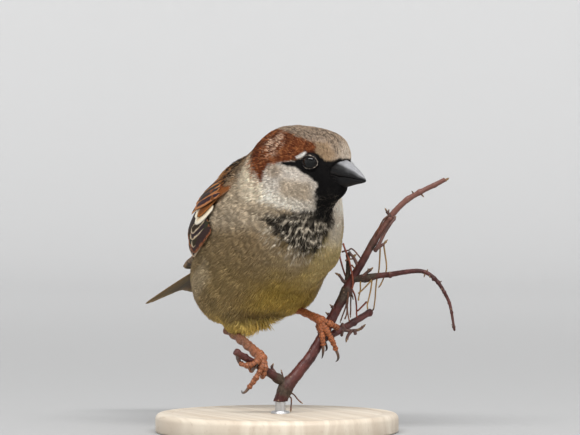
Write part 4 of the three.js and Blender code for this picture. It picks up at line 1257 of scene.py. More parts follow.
legPaint = Paint("leg_skin", {"Specular IOR Level": 0.3, "Subsurface Weight": 0.12, "Subsurface Scale": 0.001,
                              "Subsurface Radius": (1.0, 0.35, 0.2)})
warm = legPaint.attribute("warmth")[2]
scaleCells = legPaint.cells(1250.0, "DISTANCE_TO_EDGE")
seam = 1 - legPaint.steps(scaleCells, 0.0, 0.14)
mottle = legPaint.fine(700.0, 4.0)
pinkish = legPaint.mix(mottle, (0.125, 0.062, 0.036), (0.235, 0.125, 0.082))
orange = legPaint.mix(mottle, (0.27, 0.072, 0.024), (0.52, 0.180, 0.068))
flesh = legPaint.mix(warm, pinkish, orange)
flesh = legPaint.mix(seam * 0.7, flesh, (0.075, 0.024, 0.010))
flesh = legPaint.mix(legPaint.attribute("plate")[2] * 0.95, flesh, (0.055, 0.018, 0.009))
legPaint.drive(
    Base_Color=flesh,
    Roughness=mottle * 0.25 + 0.38,
    Normal=legPaint.bump(scaleCells, 0.22 * mm, 0.85, legPaint.bump(mottle, 0.10 * mm, 0.4)),
)
clawPaint = Paint("claw_horn", {"Specular IOR Level": 0.5, "Coat Weight": 0.2, "Coat Roughness": 0.3})
tipward = clawPaint.attribute("along")[2]
cloudy = clawPaint.fine(1200.0)
darker = clawPaint.steps(tipward + cloudy * 0.3, 0.3, 0.9)
clawPaint.drive(
    Base_Color=clawPaint.mix(darker, (0.115, 0.060, 0.036), (0.022, 0.015, 0.012)),
    Roughness=cloudy * 0.25 + 0.28,
    Normal=clawPaint.bump(cloudy, 0.05 * mm, 0.4),
)


def along(points, line):
    # nearest place along a line for each point, 0 to 1
    tree = KDTree(len(line.points))
    for i, point in enumerate(line.points):
        tree.insert(point, i)
    tree.balance()
    return np.array([line.at[tree.find(point)[1]] for point in points])


for side, sign in (("right", -1), ("left", 1)):
    leg = legSettings[side]
    grip = gripOf(leg, sign)
    joint = grip["sole"] + grip["up"] * 0.5
    ankle = np.array(leg["ankle"])
    top = ankle + (ankle - joint) * 0.16
    tarsusLine = Line([top, ankle, (ankle + joint) / 2 + (0, 0, 0.35), joint], side=grip["outward"] * sign)
    plates = legSettings["tarsusPlates"]
    ends = lambda u: 0.26 * ramp(u, 0.78, 1) + 0.22 * (1 - ramp(u, 0, 0.16))
    radius = scaled(lambda u: legSettings["tarsus"] * (0.94 + 0.14 * u + ends(u)), plates, 0.26)
    bm = bmesh.new()
    shape = tube(tarsusLine, lambda u, w: radius(u, w) * 0.88, lambda u, w: radius(u, w) * 1.08, (0, 0.05))
    formed(bm, shape, 110, 26)
    size = legSettings["knuckle"] * mm
    knuckle = bmesh.ops.create_uvsphere(bm, u_segments=20, v_segments=14, radius=size)["verts"]
    bmesh.ops.scale(bm, verts=knuckle, vec=(1.1, 1.0, 0.9))
    bmesh.ops.translate(bm, verts=knuckle, vec=Vector(joint) * mm)
    tarsus = piece(bm, f"leg_{side}", legPaint.material, [f"tarsus_{side}"])
    places = surfaceOf(tarsus.data)[0]
    u = along(places, tarsusLine)
    pointValues(tarsus, "warmth", (0.15 + 0.55 * ramp(u, 0.5, 1.0)) if side == "right" else 0.8 + 0.2 * u)
    pointValues(tarsus, "plate", ramp((u * plates) % 1.0, 0.84, 0.98) * 0.9)
    for name, toe in leg["toes"].items():
        back = -1 if name == "hind" else 1
        points, at, heading = toeLine(grip, toe, back, toe[0], legSettings["toeCurl"])
        sparse = points[::4] + [points[-1]] if (len(points) - 1) % 4 else points[::4]
        toeOver = Line(sparse, side=grip["outward"] * back)
        plates = legSettings["toePlates"][name]
        base = lambda u: legSettings["toe"] * (1.02 - 0.24 * u + 0.10 * np.cos(u * math.pi * 6))
        radius = scaled(base, plates, 0.30)
        bm = bmesh.new()
        formed(bm, tube(toeOver, lambda u, w: radius(u, w) * 0.92, None, (0.10, 0.07)), 96, 20)
        made = piece(bm, f"toe_{name}_{side}_scaled", legPaint.material, [f"toe_{name}_{side}"])
        u = along(surfaceOf(made.data)[0], toeOver)
        pointValues(made, "warmth", np.full(len(u), 0.62 if side == "right" else 0.95))
        pointValues(made, "plate", ramp((u * plates) % 1.0, 0.74, 0.97))
        start = (at - (at - points[-2]) * 0.8, heading - math.radians(22))
        points, _, _ = toeLine(grip, toe, back, toe[3] + 0.4, legSettings["clawCurl"], start)
        clawLine = Line(points[::2], side=grip["outward"] * back)
        bm = bmesh.new()
        taper = lambda u, w: legSettings["claw"] * (0.06 + 0.94 * np.clip(1 - u, 0, 1) ** 0.75)
        formed(bm, tube(clawLine, lambda u, w: taper(u, w) * 0.78, lambda u, w: taper(u, w) * 1.12), 30, 14)
        made = piece(bm, f"claw_{name}_{side}_horn", clawPaint.material, [f"claw_{name}_{side}"])
        pointValues(made, "along", along(surfaceOf(made.data)[0], clawLine))
print("legs ready")


# flight feathers, coverts and scapulars: thin closed vanes over the folded wing's surface
def bladeShape(line, wide, thick, camber, point, root):
    # an oval vane, cambered across: round or pointed beyond "point"
    def shape(u, w):
        centre, side, up = line(u)
        angle = 2 * math.pi * w
        blade = np.minimum(1, root + 2.2 * u * (1 - root))
        tip = np.sqrt(np.clip(1 - (np.clip(u - point, 0, None) / (1 - point)) ** 2, 0, 1))
        closed = np.where(u < 1e-6, 0.35, 1.0)
        half = wide / 2 * blade * tip * closed
        across = np.cos(angle)
        through = thick / 2 * np.sin(angle) * np.minimum(tip * 2, 1) - camber * half * across**2
        return centre + side * (half * across)[:, None] + up * through[:, None]

    return shape


def bladeMarks(centre, fringe, breadth, seed):
    return {
        "vane": lambda u, w: np.stack(
            [u, 0.5 + 0.5 * np.cos(2 * math.pi * w), np.full(len(u), breadth), np.full(len(u), seed)], axis=1
        ),
        "heart": (*centre, 1.0),
        "fringe": (*fringe, 1.0),
    }


def jitterTone(tint, amount=0.10):
    return tuple(np.clip(np.array(tint) * (1 + rng.normal(0, amount)) + rng.normal(0, 0.004, 3), 0.004, 0.9))


def wingFeather(bm, sign, root, tip, out, row):
    t = np.linspace(0, 1, 7)
    y = root[0] + (tip[0] - root[0]) * t
    z = root[1] + (tip[1] - root[1]) * t
    outs = out[0] + (out[1] - out[0]) * t**1.2
    points, normals = onWing(sign, y, z, outs)
    line = Line(points, side=np.cross(normals, unit(np.gradient(points, axis=0))), count=60)
    shape = bladeShape(line, row["wide"], 0.30, 0.10, row["point"], 0.5)
    heart, fringe = (jitterTone(plume[row[key]]) for key in ("heart", "fringe"))
    formed(bm, shape, row["steps"], 9, bladeMarks(heart, fringe, row["breadth"], rng.random()))


def featherPaint(name):
    paint = Paint(name, {"Specular IOR Level": 0.06})
    lengthAlong, across, breadth, seed = paint.numbers("vane")
    edge = paint.math("ABSOLUTE", across - 0.5) * 2
    fray = paint.fine(1300.0) - 0.5
    soft = paint.fine(380.0, 2.0) - 0.5
    barbAt = paint.joined(lengthAlong * 62 - edge * 11, seed * 91, edge * 1.5)
    barbs = paint.noise(barbAt, 1.3)
    edgeIn = edge + fray * 0.34 + soft * 0.30 + (barbs - 0.5) * 0.60
    fringed = paint.steps(edgeIn + breadth, 0.82, 1.10)
    tipped = paint.steps(lengthAlong + breadth * 0.30 + fray * 0.10, 0.91, 1.01)
    mask = paint.math("MAXIMUM", fringed, tipped)
    colour = paint.mix(mask, paint.attribute("heart")[0], paint.attribute("fringe")[0])
    rim = paint.steps(edgeIn, 0.86, 1.0)
    colour = paint.mix(rim * 0.2, colour, (0.55, 0.42, 0.28))
    shaft = 1 - paint.steps(edge, 0.03, 0.08)
    colour = paint.mix(shaft * 0.5, colour, (0.035, 0.024, 0.018))
    colour = paint.mix(1.0, colour, paint.grey(barbs * 0.8 + 0.58), "MULTIPLY")
    normal = paint.bump(barbs, 0.16 * mm, 0.8)
    return paint.drive(Base_Color=colour, Roughness=barbs * 0.2 + 0.50, Normal=normal)


plume = {
    "black": (0.030, 0.022, 0.018), "dusky": (0.065, 0.048, 0.036),
    "chestnut": (0.165, 0.050, 0.015), "rufous": (0.29, 0.106, 0.034), "orange": (0.43, 0.175, 0.056),
    "cream": (0.70, 0.56, 0.38), "white": (0.80, 0.72, 0.58), "edge": (0.25, 0.165, 0.10),
}
# rows of feathers: roots and tips as (y, z) from the first feather to the last, and how far out they lie
rowKeys = ("count", "roots", "tips", "out", "up", "wide", "heart", "fringe", "breadth", "point", "steps")
rows = {
    "wing_primaries": [
        (7, [(14, 57), (22, 62)], [(59, 50.4), (45, 55.6)], (0.1, 0.35), 0.1, 4.6, "black", "edge", 0.06,
         0.6, 26),
    ],
    "wing_secondaries": [
        (6, [(11, 60), (16, 70)], [(31, 55), (41, 59.5)], (0.7, 0.9), 0.1, 7.6, "dusky", "rufous", 0.14,
         0.8, 22),
        (3, [(14, 72), (15, 75)], [(42.5, 61), (33.5, 67)], (1.3, 1.7), 0.22, 9.6, "dusky", "rufous", 0.1,
         0.7, 22),
    ],
    "wing_coverts": [
        (4, [(3, 62), (5, 64.5)], [(17, 55.6), (20, 58.4)], (0.7, 1), 0.12, 4, "black", "cream", 0.2, 0.78,
         16),
        (10, [(1, 64), (9, 76)], [(14, 57.6), (24.5, 69)], (1, 1.5), 0.06, 5.4, "black", "rufous", 0.2, 0.7,
         18),
        (3, [(2.5, 63), (4, 66.5)], [(12.5, 58.4), (11.5, 62.6)], (0.9, 1.6), 0.2, 3, "black", "cream",
         0.24, 0.76, 14),
        (5, [(1, 70.4), (5, 77.4)], [(9, 65), (15, 72)], (1.2, 1.9), 0.05, 4.2, "cream", "white", 0.5, 0.6,
         14),
        (5, [(-0.5, 74.5), (2.5, 79.5)], [(7, 66.9), (12.3, 74.2)], (1.2, 2.1), 0.03, 4, "chestnut",
         "rufous", 0.3, 0.58, 12),
        (4, [(-5, 77.5), (-1, 81)], [(2.2, 72), (6.5, 77.6)], (1.2, 2.2), 0.03, 3.8, "chestnut", "chestnut",
         0.5, 0.58, 12),
    ],
    "scapulars": [
        (6, [(10, 71.5), (14, 77)], [(24, 65.6), (28, 70.5)], (1.6, 2), 0.08, 4.2, "black", "orange", 0.38,
         0.56, 16),
        (7, [(4, 72.5), (10, 79.5)], [(18, 67.2), (24, 74)], (1.9, 2.4), 0.08, 4, "black", "orange", 0.42,
         0.56, 14),
        (7, [(-1.5, 74), (4, 82)], [(11.5, 69), (17.5, 77)], (2.1, 2.6), 0.06, 3.8, "black", "orange", 0.42,
         0.56, 14),
    ],
}
vanePaint = featherPaint("vane_feathers")
for part, lines in rows.items():
    lines = [dict(zip(rowKeys, values)) for values in lines]
    for side, sign in (("right", -1), ("left", 1)):
        bm = bmesh.new()
        for row in lines:
            for i in range(row["count"]):
                t = i / max(row["count"] - 1, 1) + rng.normal(0, 0.015)
                (rootA, rootB), (tipA, tipB) = row["roots"], row["tips"]
                root = [rootA[k] + (rootB[k] - rootA[k]) * t for k in (0, 1)]
                tip = [tipA[k] + (tipB[k] - tipA[k]) * t + rng.normal(0, 0.22) for k in (0, 1)]
                lift = i * row["up"] + rng.normal(0, 0.04)
                out = (row["out"][0] + lift - 0.3, row["out"][1] + lift)
                wingFeather(bm, sign, root, tip, out, row)
        piece(bm, f"{part}_{side}_feathers", vanePaint, [f"{part}_{side}"])
print("wings ready")

# tail: twelve feathers, the middle pair on top
tailSettings = {"root": (0, 22.6, 58.4), "pitch": -17.5, "roll": 8, "length": 61, "pairs": 6, "wide": 7.0}
bm = bmesh.new()
for sign in (-1, 1):
    for pair in range(tailSettings["pairs"]):
        splay = math.radians(sign * (0.5 + pair * 1.45))
        length = tailSettings["length"] - (3 if pair == 0 else 0.96 * abs(pair - 4))
        root = np.array(tailSettings["root"]) + (sign * pair * 0.6, 0, 0.9 - pair * 0.30)
        fall = math.tan(math.radians(tailSettings["pitch"]))
        way = unit(np.array((math.sin(splay), math.cos(splay), fall)))
        tip = root + way * length - (0, 0, 0.12 * pair)
        slope = math.tan(math.radians(tailSettings["roll"]))
        points = [root, (root + tip) / 2 + (0, 0, 0.6), tip]
        points = [p + (0, 0, p[0] * slope) for p in points]
        line = Line(points, side=(1, 0, slope - sign * 0.05 * pair), count=60)
        outer = pair > 2
        # outer pairs paler: tail brown with painted light for the lit edges of the fan
        heart = jitterTone((0.145, 0.095, 0.036) if outer else (0.085, 0.058, 0.032), 0.08)
        fringe = jitterTone((0.265, 0.175, 0.075) if outer else (0.21, 0.145, 0.075), 0.08)
        marks = bladeMarks(heart, fringe, 0.2 if outer else 0.11, rng.random())
        formed(bm, bladeShape(line, tailSettings["wide"], 0.34, 0.06, 0.88, 0.55), 30, 11, marks)
piece(bm, "tail_feathers", vanePaint, ["tail"])

# coverts over the tail's root, above and below: how many, three places as (y, z), and the colours
tailCoverts = {"apart": 1.8, "wide": 5.6, "slope": 0.14, "rows": [
    (7, [(36, 47.0), (46, 45.4), (57.5, 46.3)], (0.27, 0.205, 0.115), (0.42, 0.34, 0.215)),
    (6, [(33, 46.4), (42, 44.3), (52.5, 45.0)], (0.27, 0.205, 0.115), (0.42, 0.34, 0.215)),
    (7, [(38, 57.4), (47, 54.3), (57, 50.9)], (0.19, 0.140, 0.085), (0.32, 0.24, 0.15)),
]}
bm = bmesh.new()
for count, path, heart, fringe in tailCoverts["rows"]:
    for i in range(count):
        across = (i - (count - 1) / 2) * tailCoverts["apart"]
        places = [(across * fan, y - abs(across) * 0.5, z + across * tailCoverts["slope"])
                  for fan, (y, z) in zip((0.8, 1.0, 0.9), path)]
        line = Line(places, side=(1, 0, tailCoverts["slope"]), count=60)
        marks = bladeMarks(jitterTone(heart), jitterTone(fringe), 0.2, rng.random())
        formed(bm, bladeShape(line, tailCoverts["wide"], 0.3, 0.12, 0.6, 0.5), 18, 9, marks)
piece(bm, "tail_coverts", vanePaint)
print("tail ready")

# perch: a forked twig with buds, knots, spurs and old fruit stalks
twigs = {  # lines, radius at each end, and knots as (place along, swelling, half width)
    "perch_stem": {
        "line": [(-1.2, -3.5, 7.6), (1.2, -3.9, 14), (5.2, -4.8, 18.8), (10.4, -5.3, 25.4),
                 (17.5, -6, 37.6), (21.3, -6.6, 45), (25.1, -8.4, 52.3), (30.4, -10.9, 62.3),
                 (37.1, -15.1, 71.9), (47.8, -22.3, 79)],
        "from": 2.15, "to": 0.7, "power": 0.8, "sawn": 9.8, "steps": 300,
        "knots": [(0.075, 0.22, 0.03), (0.36, 0.08, 0.012), (0.455, 0.2, 0.03), (0.475, 0.22, 0.012),
                  (0.66, 0.16, 0.012), (0.7, 0.1, 0.02), (0.76, 0.26, 0.008), (0.85, 0.14, 0.01),
                  (0.9, 0.2, 0.007), (0.955, 0.16, 0.007)],
    },
    "perch_stub_right": {
        "line": [(1.2, -3.9, 15.2), (-9, -4.6, 21.4), (-16.8, -5, 25.8)],
        "from": 1.42, "to": 0.95, "power": 1, "steps": 90,
        "knots": [(0.16, 0.2, 0.06), (0.8, 0.16, 0.03), (0.95, 0.2, 0.04)],
    },
    "perch_side_twig": {
        "line": [(22.6, -7.2, 47.6), (31.9, -13.8, 49.1), (41.2, -21.4, 49.9), (46.4, -26, 42),
                 (48, -27.9, 31.7)],
        "from": 1.12, "to": 0.36, "power": 0.8, "steps": 200,
        "knots": [(0.1, 0.34, 0.05), (0.27, 0.26, 0.01), (0.6, 0.4, 0.01), (0.64, 0.3, 0.008),
                  (0.72, 0.3, 0.006), (0.8, 0.3, 0.006), (0.87, 0.3, 0.006), (0.97, 0.5, 0.008)],
    },
    "perch_stub_low": {
        "line": [(13.8, -5.5, 29.2), (22, -3.4, 32.4), (32.3, -1.4, 37.3)],
        "from": 1.25, "to": 1, "power": 1, "steps": 110,
        "knots": [(0.35, 0.16, 0.04), (0.62, 0.14, 0.03), (0.95, 0.22, 0.03)],
    },
    "perch_stub_back": {
        "line": [(20.8, -6.6, 44.2), (22.2, -5.2, 50), (22.9, -3.6, 56)],
        "from": 0.95, "to": 0.55, "power": 1, "steps": 60,
        "knots": [(0.3, 0.2, 0.05), (0.92, 0.25, 0.05)],
    },
}
barkPaint = Paint("bark", {"Specular IOR Level": 0.26})
places = barkPaint.places
lengthAlong, roundAbout, oldness, _ = barkPaint.numbers("grain")
cloud = barkPaint.fine(260.0, 4.0)
fine = barkPaint.noise(places, 1500.0, 4.0, 0.65)
fibre = barkPaint.noise(barkPaint.joined(lengthAlong * 0.16, roundAbout * 9, 0.0), 2.2, 4.0)
lenticel = 1 - barkPaint.steps(barkPaint.cells(420.0, "F1") + fine * 0.10, 0.13, 0.20)
deepTone = barkPaint.mix(barkPaint.steps(cloud, 0.35, 0.68), (0.040, 0.010, 0.009), (0.105, 0.032, 0.027))
upper = barkPaint.steps(barkPaint.parts(places)[2], 0.050, 0.066)
deepTone = barkPaint.mix(upper * 0.6, deepTone, (0.22, 0.105, 0.080))
# pale pink streaks along the grain: bark grain with a painted sheen highlight
deepTone = barkPaint.mix(barkPaint.steps(fibre, 0.52, 0.80) * 0.5, deepTone, (0.22, 0.090, 0.078))
deepTone = barkPaint.mix(barkPaint.steps(fine, 0.56, 0.78) * 0.5, deepTone, (0.055, 0.026, 0.020))
greyed = barkPaint.mix(barkPaint.steps(fine, 0.3, 0.7), (0.028, 0.018, 0.012), (0.075, 0.050, 0.034))
bark = barkPaint.mix(barkPaint.steps(oldness + (cloud - 0.5) * 1.3, 0.42, 0.72), deepTone, greyed)
bark = barkPaint.mix(lenticel * 0.8, bark, (0.22, 0.14, 0.09))
barkHeight = fine * 0.5 + fibre * 0.5 + lenticel * 0.3
barkPaint.drive(
    Base_Color=bark,
    Roughness=barkPaint.steps(oldness, 0.2, 0.8) * 0.3 + fine * 0.2 + 0.24,
    Normal=barkPaint.bump(barkHeight, 0.22 * mm, 0.7),
)


def twigShape(line, plan, seed):
    made = np.random.default_rng(seed)
    phases = made.uniform(0, 6.28, 8)

    def shape(u, w):
        radius = plan["from"] + (plan["to"] - plan["from"]) * u ** plan["power"]
        angle = 2 * math.pi * w
        for place, swelling, half in plan["knots"]:
            lean = 1 + 0.7 * np.cos(angle - phases[0] - place * 37)
            radius = radius * (1 + swelling * lean * np.exp(-(((u - place) / half) ** 2)))
        gone = u * line.length
        waves = ((1, 1.9, 2), (1, 0.9, -1), (0.7, 4.3, 3), (0.6, 0.5, 5))
        ripple = sum(
            high * np.sin(gone * lengthwise + turns * angle + phase)
            for (high, lengthwise, turns), phase in zip(waves, phases[1:])
        )
        ends = np.sqrt(np.clip(1 - (1 - np.clip((1 - u) * line.length / 0.35, 0, 1)) ** 2, 0, 1))
        ends = np.where(u < 1e-6, 0.0, ends)
        radius = radius * (1 + 0.022 * ripple) * ends
        centre, side, up = line(u)
        return centre + side * (radius * np.cos(angle))[:, None] + up * (radius * np.sin(angle))[:, None]

    return shape


def grainMarks(line, oldAt):
    return {"grain": lambda u, w: np.stack(
        [u * line.length, np.abs(w - 0.5) * 2, np.interp(u, *zip(*oldAt)), np.ones(len(u))], axis=1)}


oldBark = {  # greyness along each twig
    "perch_stem": [(0, 0.25), (0.06, 0.75), (0.12, 0.35), (0.2, 0.1), (0.38, 0.2), (0.44, 0.85),
                   (0.5, 0.35), (0.6, 0.15), (0.66, 0.6), (0.75, 0.2), (1, 0.35)],
    "perch_stub_right": [(0, 0.95), (0.15, 0.85), (0.35, 0.3), (1, 0.35)],
    "perch_side_twig": [(0, 0.9), (0.16, 0.6), (0.24, 0.1), (0.6, 0.15), (1, 0.55)],
    "perch_stub_low": [(0, 0.2), (0.5, 0.3), (1, 0.25)],
    "perch_stub_back": [(0, 0.9), (1, 0.7)],
}
carriers = []  # (across, height, nearness, radius) along what is already placed
for i, (name, plan) in enumerate(twigs.items()):
    line = Line(plan["line"], count=400)
    radii = plan["from"] + (plan["to"] - plan["from"]) * line.at ** plan["power"]
    carriers.append((line.points, radii))
    bm = bmesh.new()
    formed(bm, twigShape(line, plan, 40 + i), plan["steps"], 22, grainMarks(line, oldBark[name]))
    if "sawn" in plan:
        cut = bmesh.ops.bisect_plane(
            bm, geom=[*bm.verts, *bm.edges, *bm.faces], dist=1e-7, clear_inner=True,
            plane_co=(0, 0, plan["sawn"] * mm), plane_no=(0, 0, 1),
        )
        fillCut(bm, cut)
    piece(bm, f"{name}_bark", barkPaint.material, [name])

# spurs, buds and stalks lie round the twig: points as (across, height, nearness) from the front right
stalkTurn = np.array([(0.906, -0.423, 0.0), (0.0, 0.0, 1.0), (-0.423, -0.906, 0.0)])
stalks = {  # radius at each end, and each one's points
    "stalks_red": ((0.3, 0.26), [
        [(20.7, 59, -4.6), (21.6, 56.3, -3.4), (22.6, 53.6, -2.2), (23.2, 50.8, -1.4), (23.7, 47.7, -1.2),
         (23.6, 44.9, -1.5)],
        [(19.5, 55.6, -3.6), (20.3, 52.5, -2.4), (21.2, 49.5, -1.2), (22.5, 46.4, -0.6), (23.8, 44, -0.8),
         (24.6, 42, -0.9), (25, 39.2, -1), (25.1, 36, -1)],
        [(28.4, 40.5, -1.6), (27.1, 39.2, -1.4), (25.5, 37.6, -1.2)],
    ]),
    "stalks_dark": ((0.27, 0.21), [
        [(20.2, 56.1, -4.6), (21.4, 56.5, -4.2), (22.5, 56.7, -4), (23.3, 57.2, -3.8), (24.4, 56.4, -3.6),
         (25.5, 55.1, -3.3), (26.4, 54, -3)],
        [(23.3, 52.3, -2.6), (24.4, 50.8, -2.4)],
        [(21.4, 53.2, -3.6), (22.2, 53.9, -3.4), (23.7, 54, -3.2)],
        [(22.2, 44.2, -0.9), (22.2, 41.1, -0.6), (22, 39.2, -0.6), (22.2, 36.8, -0.8), (22.7, 34.3, -1.2)],
        [(22, 41.1, -0.6), (21.4, 38.7, -0.4), (20.5, 36.3, -0.4), (19.9, 34.5, -0.5)],
        [(22, 38.9, -0.6), (21.8, 36.8, -0.7), (21.2, 35, -0.7)],
        [(23.4, 44.6, -1), (23.2, 40.3, -1), (23.2, 38.1, -1), (23.1, 36, -1)],
        [(23.4, 43.3, -0.9), (23.9, 41.5, -0.8)],
        [(35.6, 68.1, -1.8), (33.5, 66.5, -1.2), (32.1, 64.1, -1.3), (31.2, 61.8, -1.9),
         (30.6, 59.6, -2.6)],
        [(4.2, 10.9, -1.6), (4.5, 9.4, -1.2), (4.4, 8.1, -1.2), (4.3, 6.6, -1.2)],
        [(5, 11.9, -1.8), (6.5, 10.2, -1.6), (7.7, 9.1, -1.5)],
        [(2.2, 16.2, -1.6), (1.8, 17.6, -1.5), (1.4, 19.1, -1.5)],
    ]),
    "stalks_olive": ((0.27, 0.22), [
        [(26.2, 47.4, -2), (26.1, 46, -1.8), (26.1, 44.2, -1.8), (25.7, 42.5, -1.8), (25.5, 40.8, -1.8)],
        [(29.5, 47.4, -1.4), (27.9, 45.5, -1), (26.4, 44, -1.1), (25.3, 43.1, -1.2)],
        [(29.8, 48, -2), (29.4, 44.6, -1.7), (28.7, 41.4, -1.6), (28.3, 39.6, -1.6), (28.4, 38.1, -1.6)],
        [(32.6, 58.6, -2.6), (32.5, 55, -3), (32.3, 51.7, -3.2), (32.1, 49.7, -3.2), (31.6, 47.7, -3.1),
         (31.2, 44.6, -3), (31, 41.4, -3), (30.7, 39.2, -3), (30.5, 38, -3)],
        [(33.4, 58.6, -2.4), (33.9, 55.2, -2.8), (34.3, 52.5, -3), (34.2, 50.1, -3), (33.3, 47.7, -2.8),
         (32.5, 46, -2.6), (32.2, 45.6, -2.6)],
    ]),
    "spurs": ((0.62, 0.4), [
        [(30.6, 56.6, -2.6), (31.5, 57.8, -1.4), (33.8, 62.3, -1.2), (35.9, 65.5, -1.4),
         (36.9, 66.7, -1.7)],
        [(31, 57, -2.2), (32.4, 58, -2), (33.6, 58.9, -1.9)],
        [(25.4, 51.8, -2.9), (24.4, 53.7, -2.5), (23.7, 54.8, -2.4), (22.3, 56.3, -2.6)],
        [(35.5, 67.4, -2), (34.9, 68.2, -1.8), (34.2, 69.1, -1.8)],
        [(20.9, 46.9, -2.4), (20, 48.2, -2.3), (19.1, 49.3, -2.2)],
        [(27, 48.6, -2), (28.2, 49.8, -1.4), (29.6, 50.8, -1.2)],
        [(20.5, 33.4, -4), (21.4, 31.6, -3.8), (24.8, 31.5, -4.2), (26.2, 32, -4.4), (27.2, 32.8, -4.6)],
        [(23.4, 31.4, -4), (22.3, 29.9, -3.8), (21.8, 28.4, -3.7)],
        [(20.6, 31.8, -3.8), (20.2, 29.5, -3.7)],
        [(24.4, 31.4, -4.2), (24.7, 30, -4.1)],
        [(-0.6, 18.6, -1), (-1.6, 20.2, -0.9), (-1.2, 21, -0.8)],
        [(17.9, 38.5, -1.5), (16.9, 39.4, -1.4)],
        [(16.6, 36.3, -1.4), (15.6, 37, -1.3)],
        [(-11, 24, -2), (-11.9, 23, -1.9)],
    ]),
}
buds = [  # (across, height, nearness), length, width, and the way each points
    ((33.8, 59.1, -1.9), 1.9, 0.75, (0.5, 0.6)), ((34.2, 69.2, -1.8), 1.3, 0.6, (-0.5, 0.8)),
    ((34.9, 68.9, -1.8), 1.1, 0.5, (0.3, 1)), ((36.9, 66.8, -1.7), 1.2, 0.5, (0.4, 0.8)),
    ((52.7, 78.7, -0.1), 1.9, 0.85, (0.8, 0.5)), ((45.4, 74, -1), 1.3, 0.5, (0.6, -0.7)),
    ((42.6, 74.7, -1.5), 1.2, 0.5, (-0.5, 0.8)), ((49.8, 77.2, -0.5), 1, 0.5, (-0.3, 1)),
    ((19.1, 49.2, -2.2), 1.6, 0.75, (-0.8, 0.4)), ((29.4, 50.7, -1.2), 1.5, 0.7, (0.7, 0.7)),
    ((28.7, 50.2, -1.1), 1.3, 0.6, (-0.2, 1)), ((23.9, 54.7, -2.3), 1.7, 0.85, (0.6, 0.5)),
    ((35.2, 49.3, -0.3), 1, 0.7, (0.2, 1)), ((46, 48.9, 2.5), 1.1, 0.5, (-0.3, -1)),
    ((47.6, 48.8, 2.8), 1, 0.45, (0.2, -1)), ((46.8, 50.4, 2.7), 0.9, 0.5, (0.5, 1)),
    ((50.9, 46.9, 3.3), 0.9, 0.36, (0.8, 0.6)), ((52.4, 42.7, 3.7), 0.8, 0.34, (-0.8, -0.2)),
    ((53.8, 39.7, 3.9), 0.8, 0.32, (0.9, 0.2)), ((54.7, 33.6, 4.3), 0.8, 0.3, (-0.8, 0.1)),
    ((27.2, 32.8, -4.6), 1.3, 0.62, (0.7, 0.7)), ((21.8, 28.6, -3.7), 1.3, 0.7, (-0.2, -1)),
    ((25.6, 31.9, -4.3), 1.8, 0.8, (1, 0.2)), ((16.9, 39.4, -1.4), 0.9, 0.5, (-0.6, 0.6)),
    ((15.6, 37, -1.3), 0.9, 0.5, (-0.6, 0.6)), ((-1.2, 20.9, -0.8), 1, 0.6, (0.3, 1)),
    ((30.5, 38, -3), 0.9, 0.45, (-0.3, -1)), ((32.2, 45.6, -2.6), 1.2, 0.5, (-0.6, -0.8)),
    ((23.1, 35.9, -1), 0.9, 0.4, (0, -1)), ((19.9, 34.4, -0.5), 0.8, 0.36, (-0.3, -1)),
    ((23.9, 41.4, -0.8), 0.7, 0.4, (0.2, -1)), ((7.7, 9.1, -1.5), 0.7, 0.38, (0.8, -0.6)),
    ((1.4, 19.2, -1.5), 0.7, 0.36, (-0.3, 1)), ((4.3, 6.7, -1.2), 0.6, 0.34, (0, -1)),
    ((22.9, 53.9, -2.9), 1, 0.5, (-0.8, 0.6)),
]


def stalkPaint(name, low, high, dark):
    paint = Paint(name, {"Specular IOR Level": 0.4})
    cloud, grain = paint.fine(330.0), paint.fine(1700.0)
    tone = paint.mix(paint.steps(cloud, 0.35, 0.65), low, high)
    tone = paint.mix(paint.steps(grain, 0.55, 0.75) * 0.7, tone, dark)
    return paint.drive(Base_Color=tone, Roughness=grain * 0.3 + 0.35,
                       Normal=paint.bump(grain, 0.10 * mm, 0.6))


stalkPaints = {
    "stalks_red": stalkPaint("stalk_red", (0.17, 0.034, 0.014), (0.26, 0.068, 0.032), (0.07, 0.021, 0.011)),
    "stalks_dark": stalkPaint("stalk_dark", (0.065, 0.026, 0.014), (0.17, 0.062, 0.028),
                              (0.028, 0.016, 0.011)),
    "stalks_olive": stalkPaint("stalk_olive", (0.20, 0.115, 0.035), (0.29, 0.17, 0.062),
                               (0.08, 0.045, 0.018)),
    "spurs": stalkPaint("spur_bark", (0.060, 0.028, 0.021), (0.14, 0.066, 0.053), (0.028, 0.018, 0.012)),
}
budPaint = stalkPaint("bud_scales", (0.10, 0.055, 0.028), (0.26, 0.16, 0.075), (0.035, 0.02, 0.012))


def fromFront(points):
    return np.asarray(points, float) @ stalkTurn


def nearest(spot):
    # the carrier's place that lies closest behind or before a place, and its radius there
    places = np.concatenate([points @ stalkTurn.T for points, _ in carriers])
    radii = np.concatenate([radius for _, radius in carriers])
    away = np.linalg.norm(places[:, :2] - spot[:2], axis=1) - radii
    k = int(np.argmin(away))
    return away[k], places[k], radii[k]


def seated(points):
    # carries a stalk to the twig or stalk that it springs from, and roots it there
    points = np.array(points, float)
    found = [(*nearest(points[end]), end) for end in (0, -1)]
    _, seat, radius, end = min(found, key=lambda each: each[0])
    off = points[end, 2] - seat[2]
    points[:, 2] += np.clip(off, -radius, radius) - off
    if end == 0:
        return np.vstack([seat, points])
    return np.vstack([points, seat])


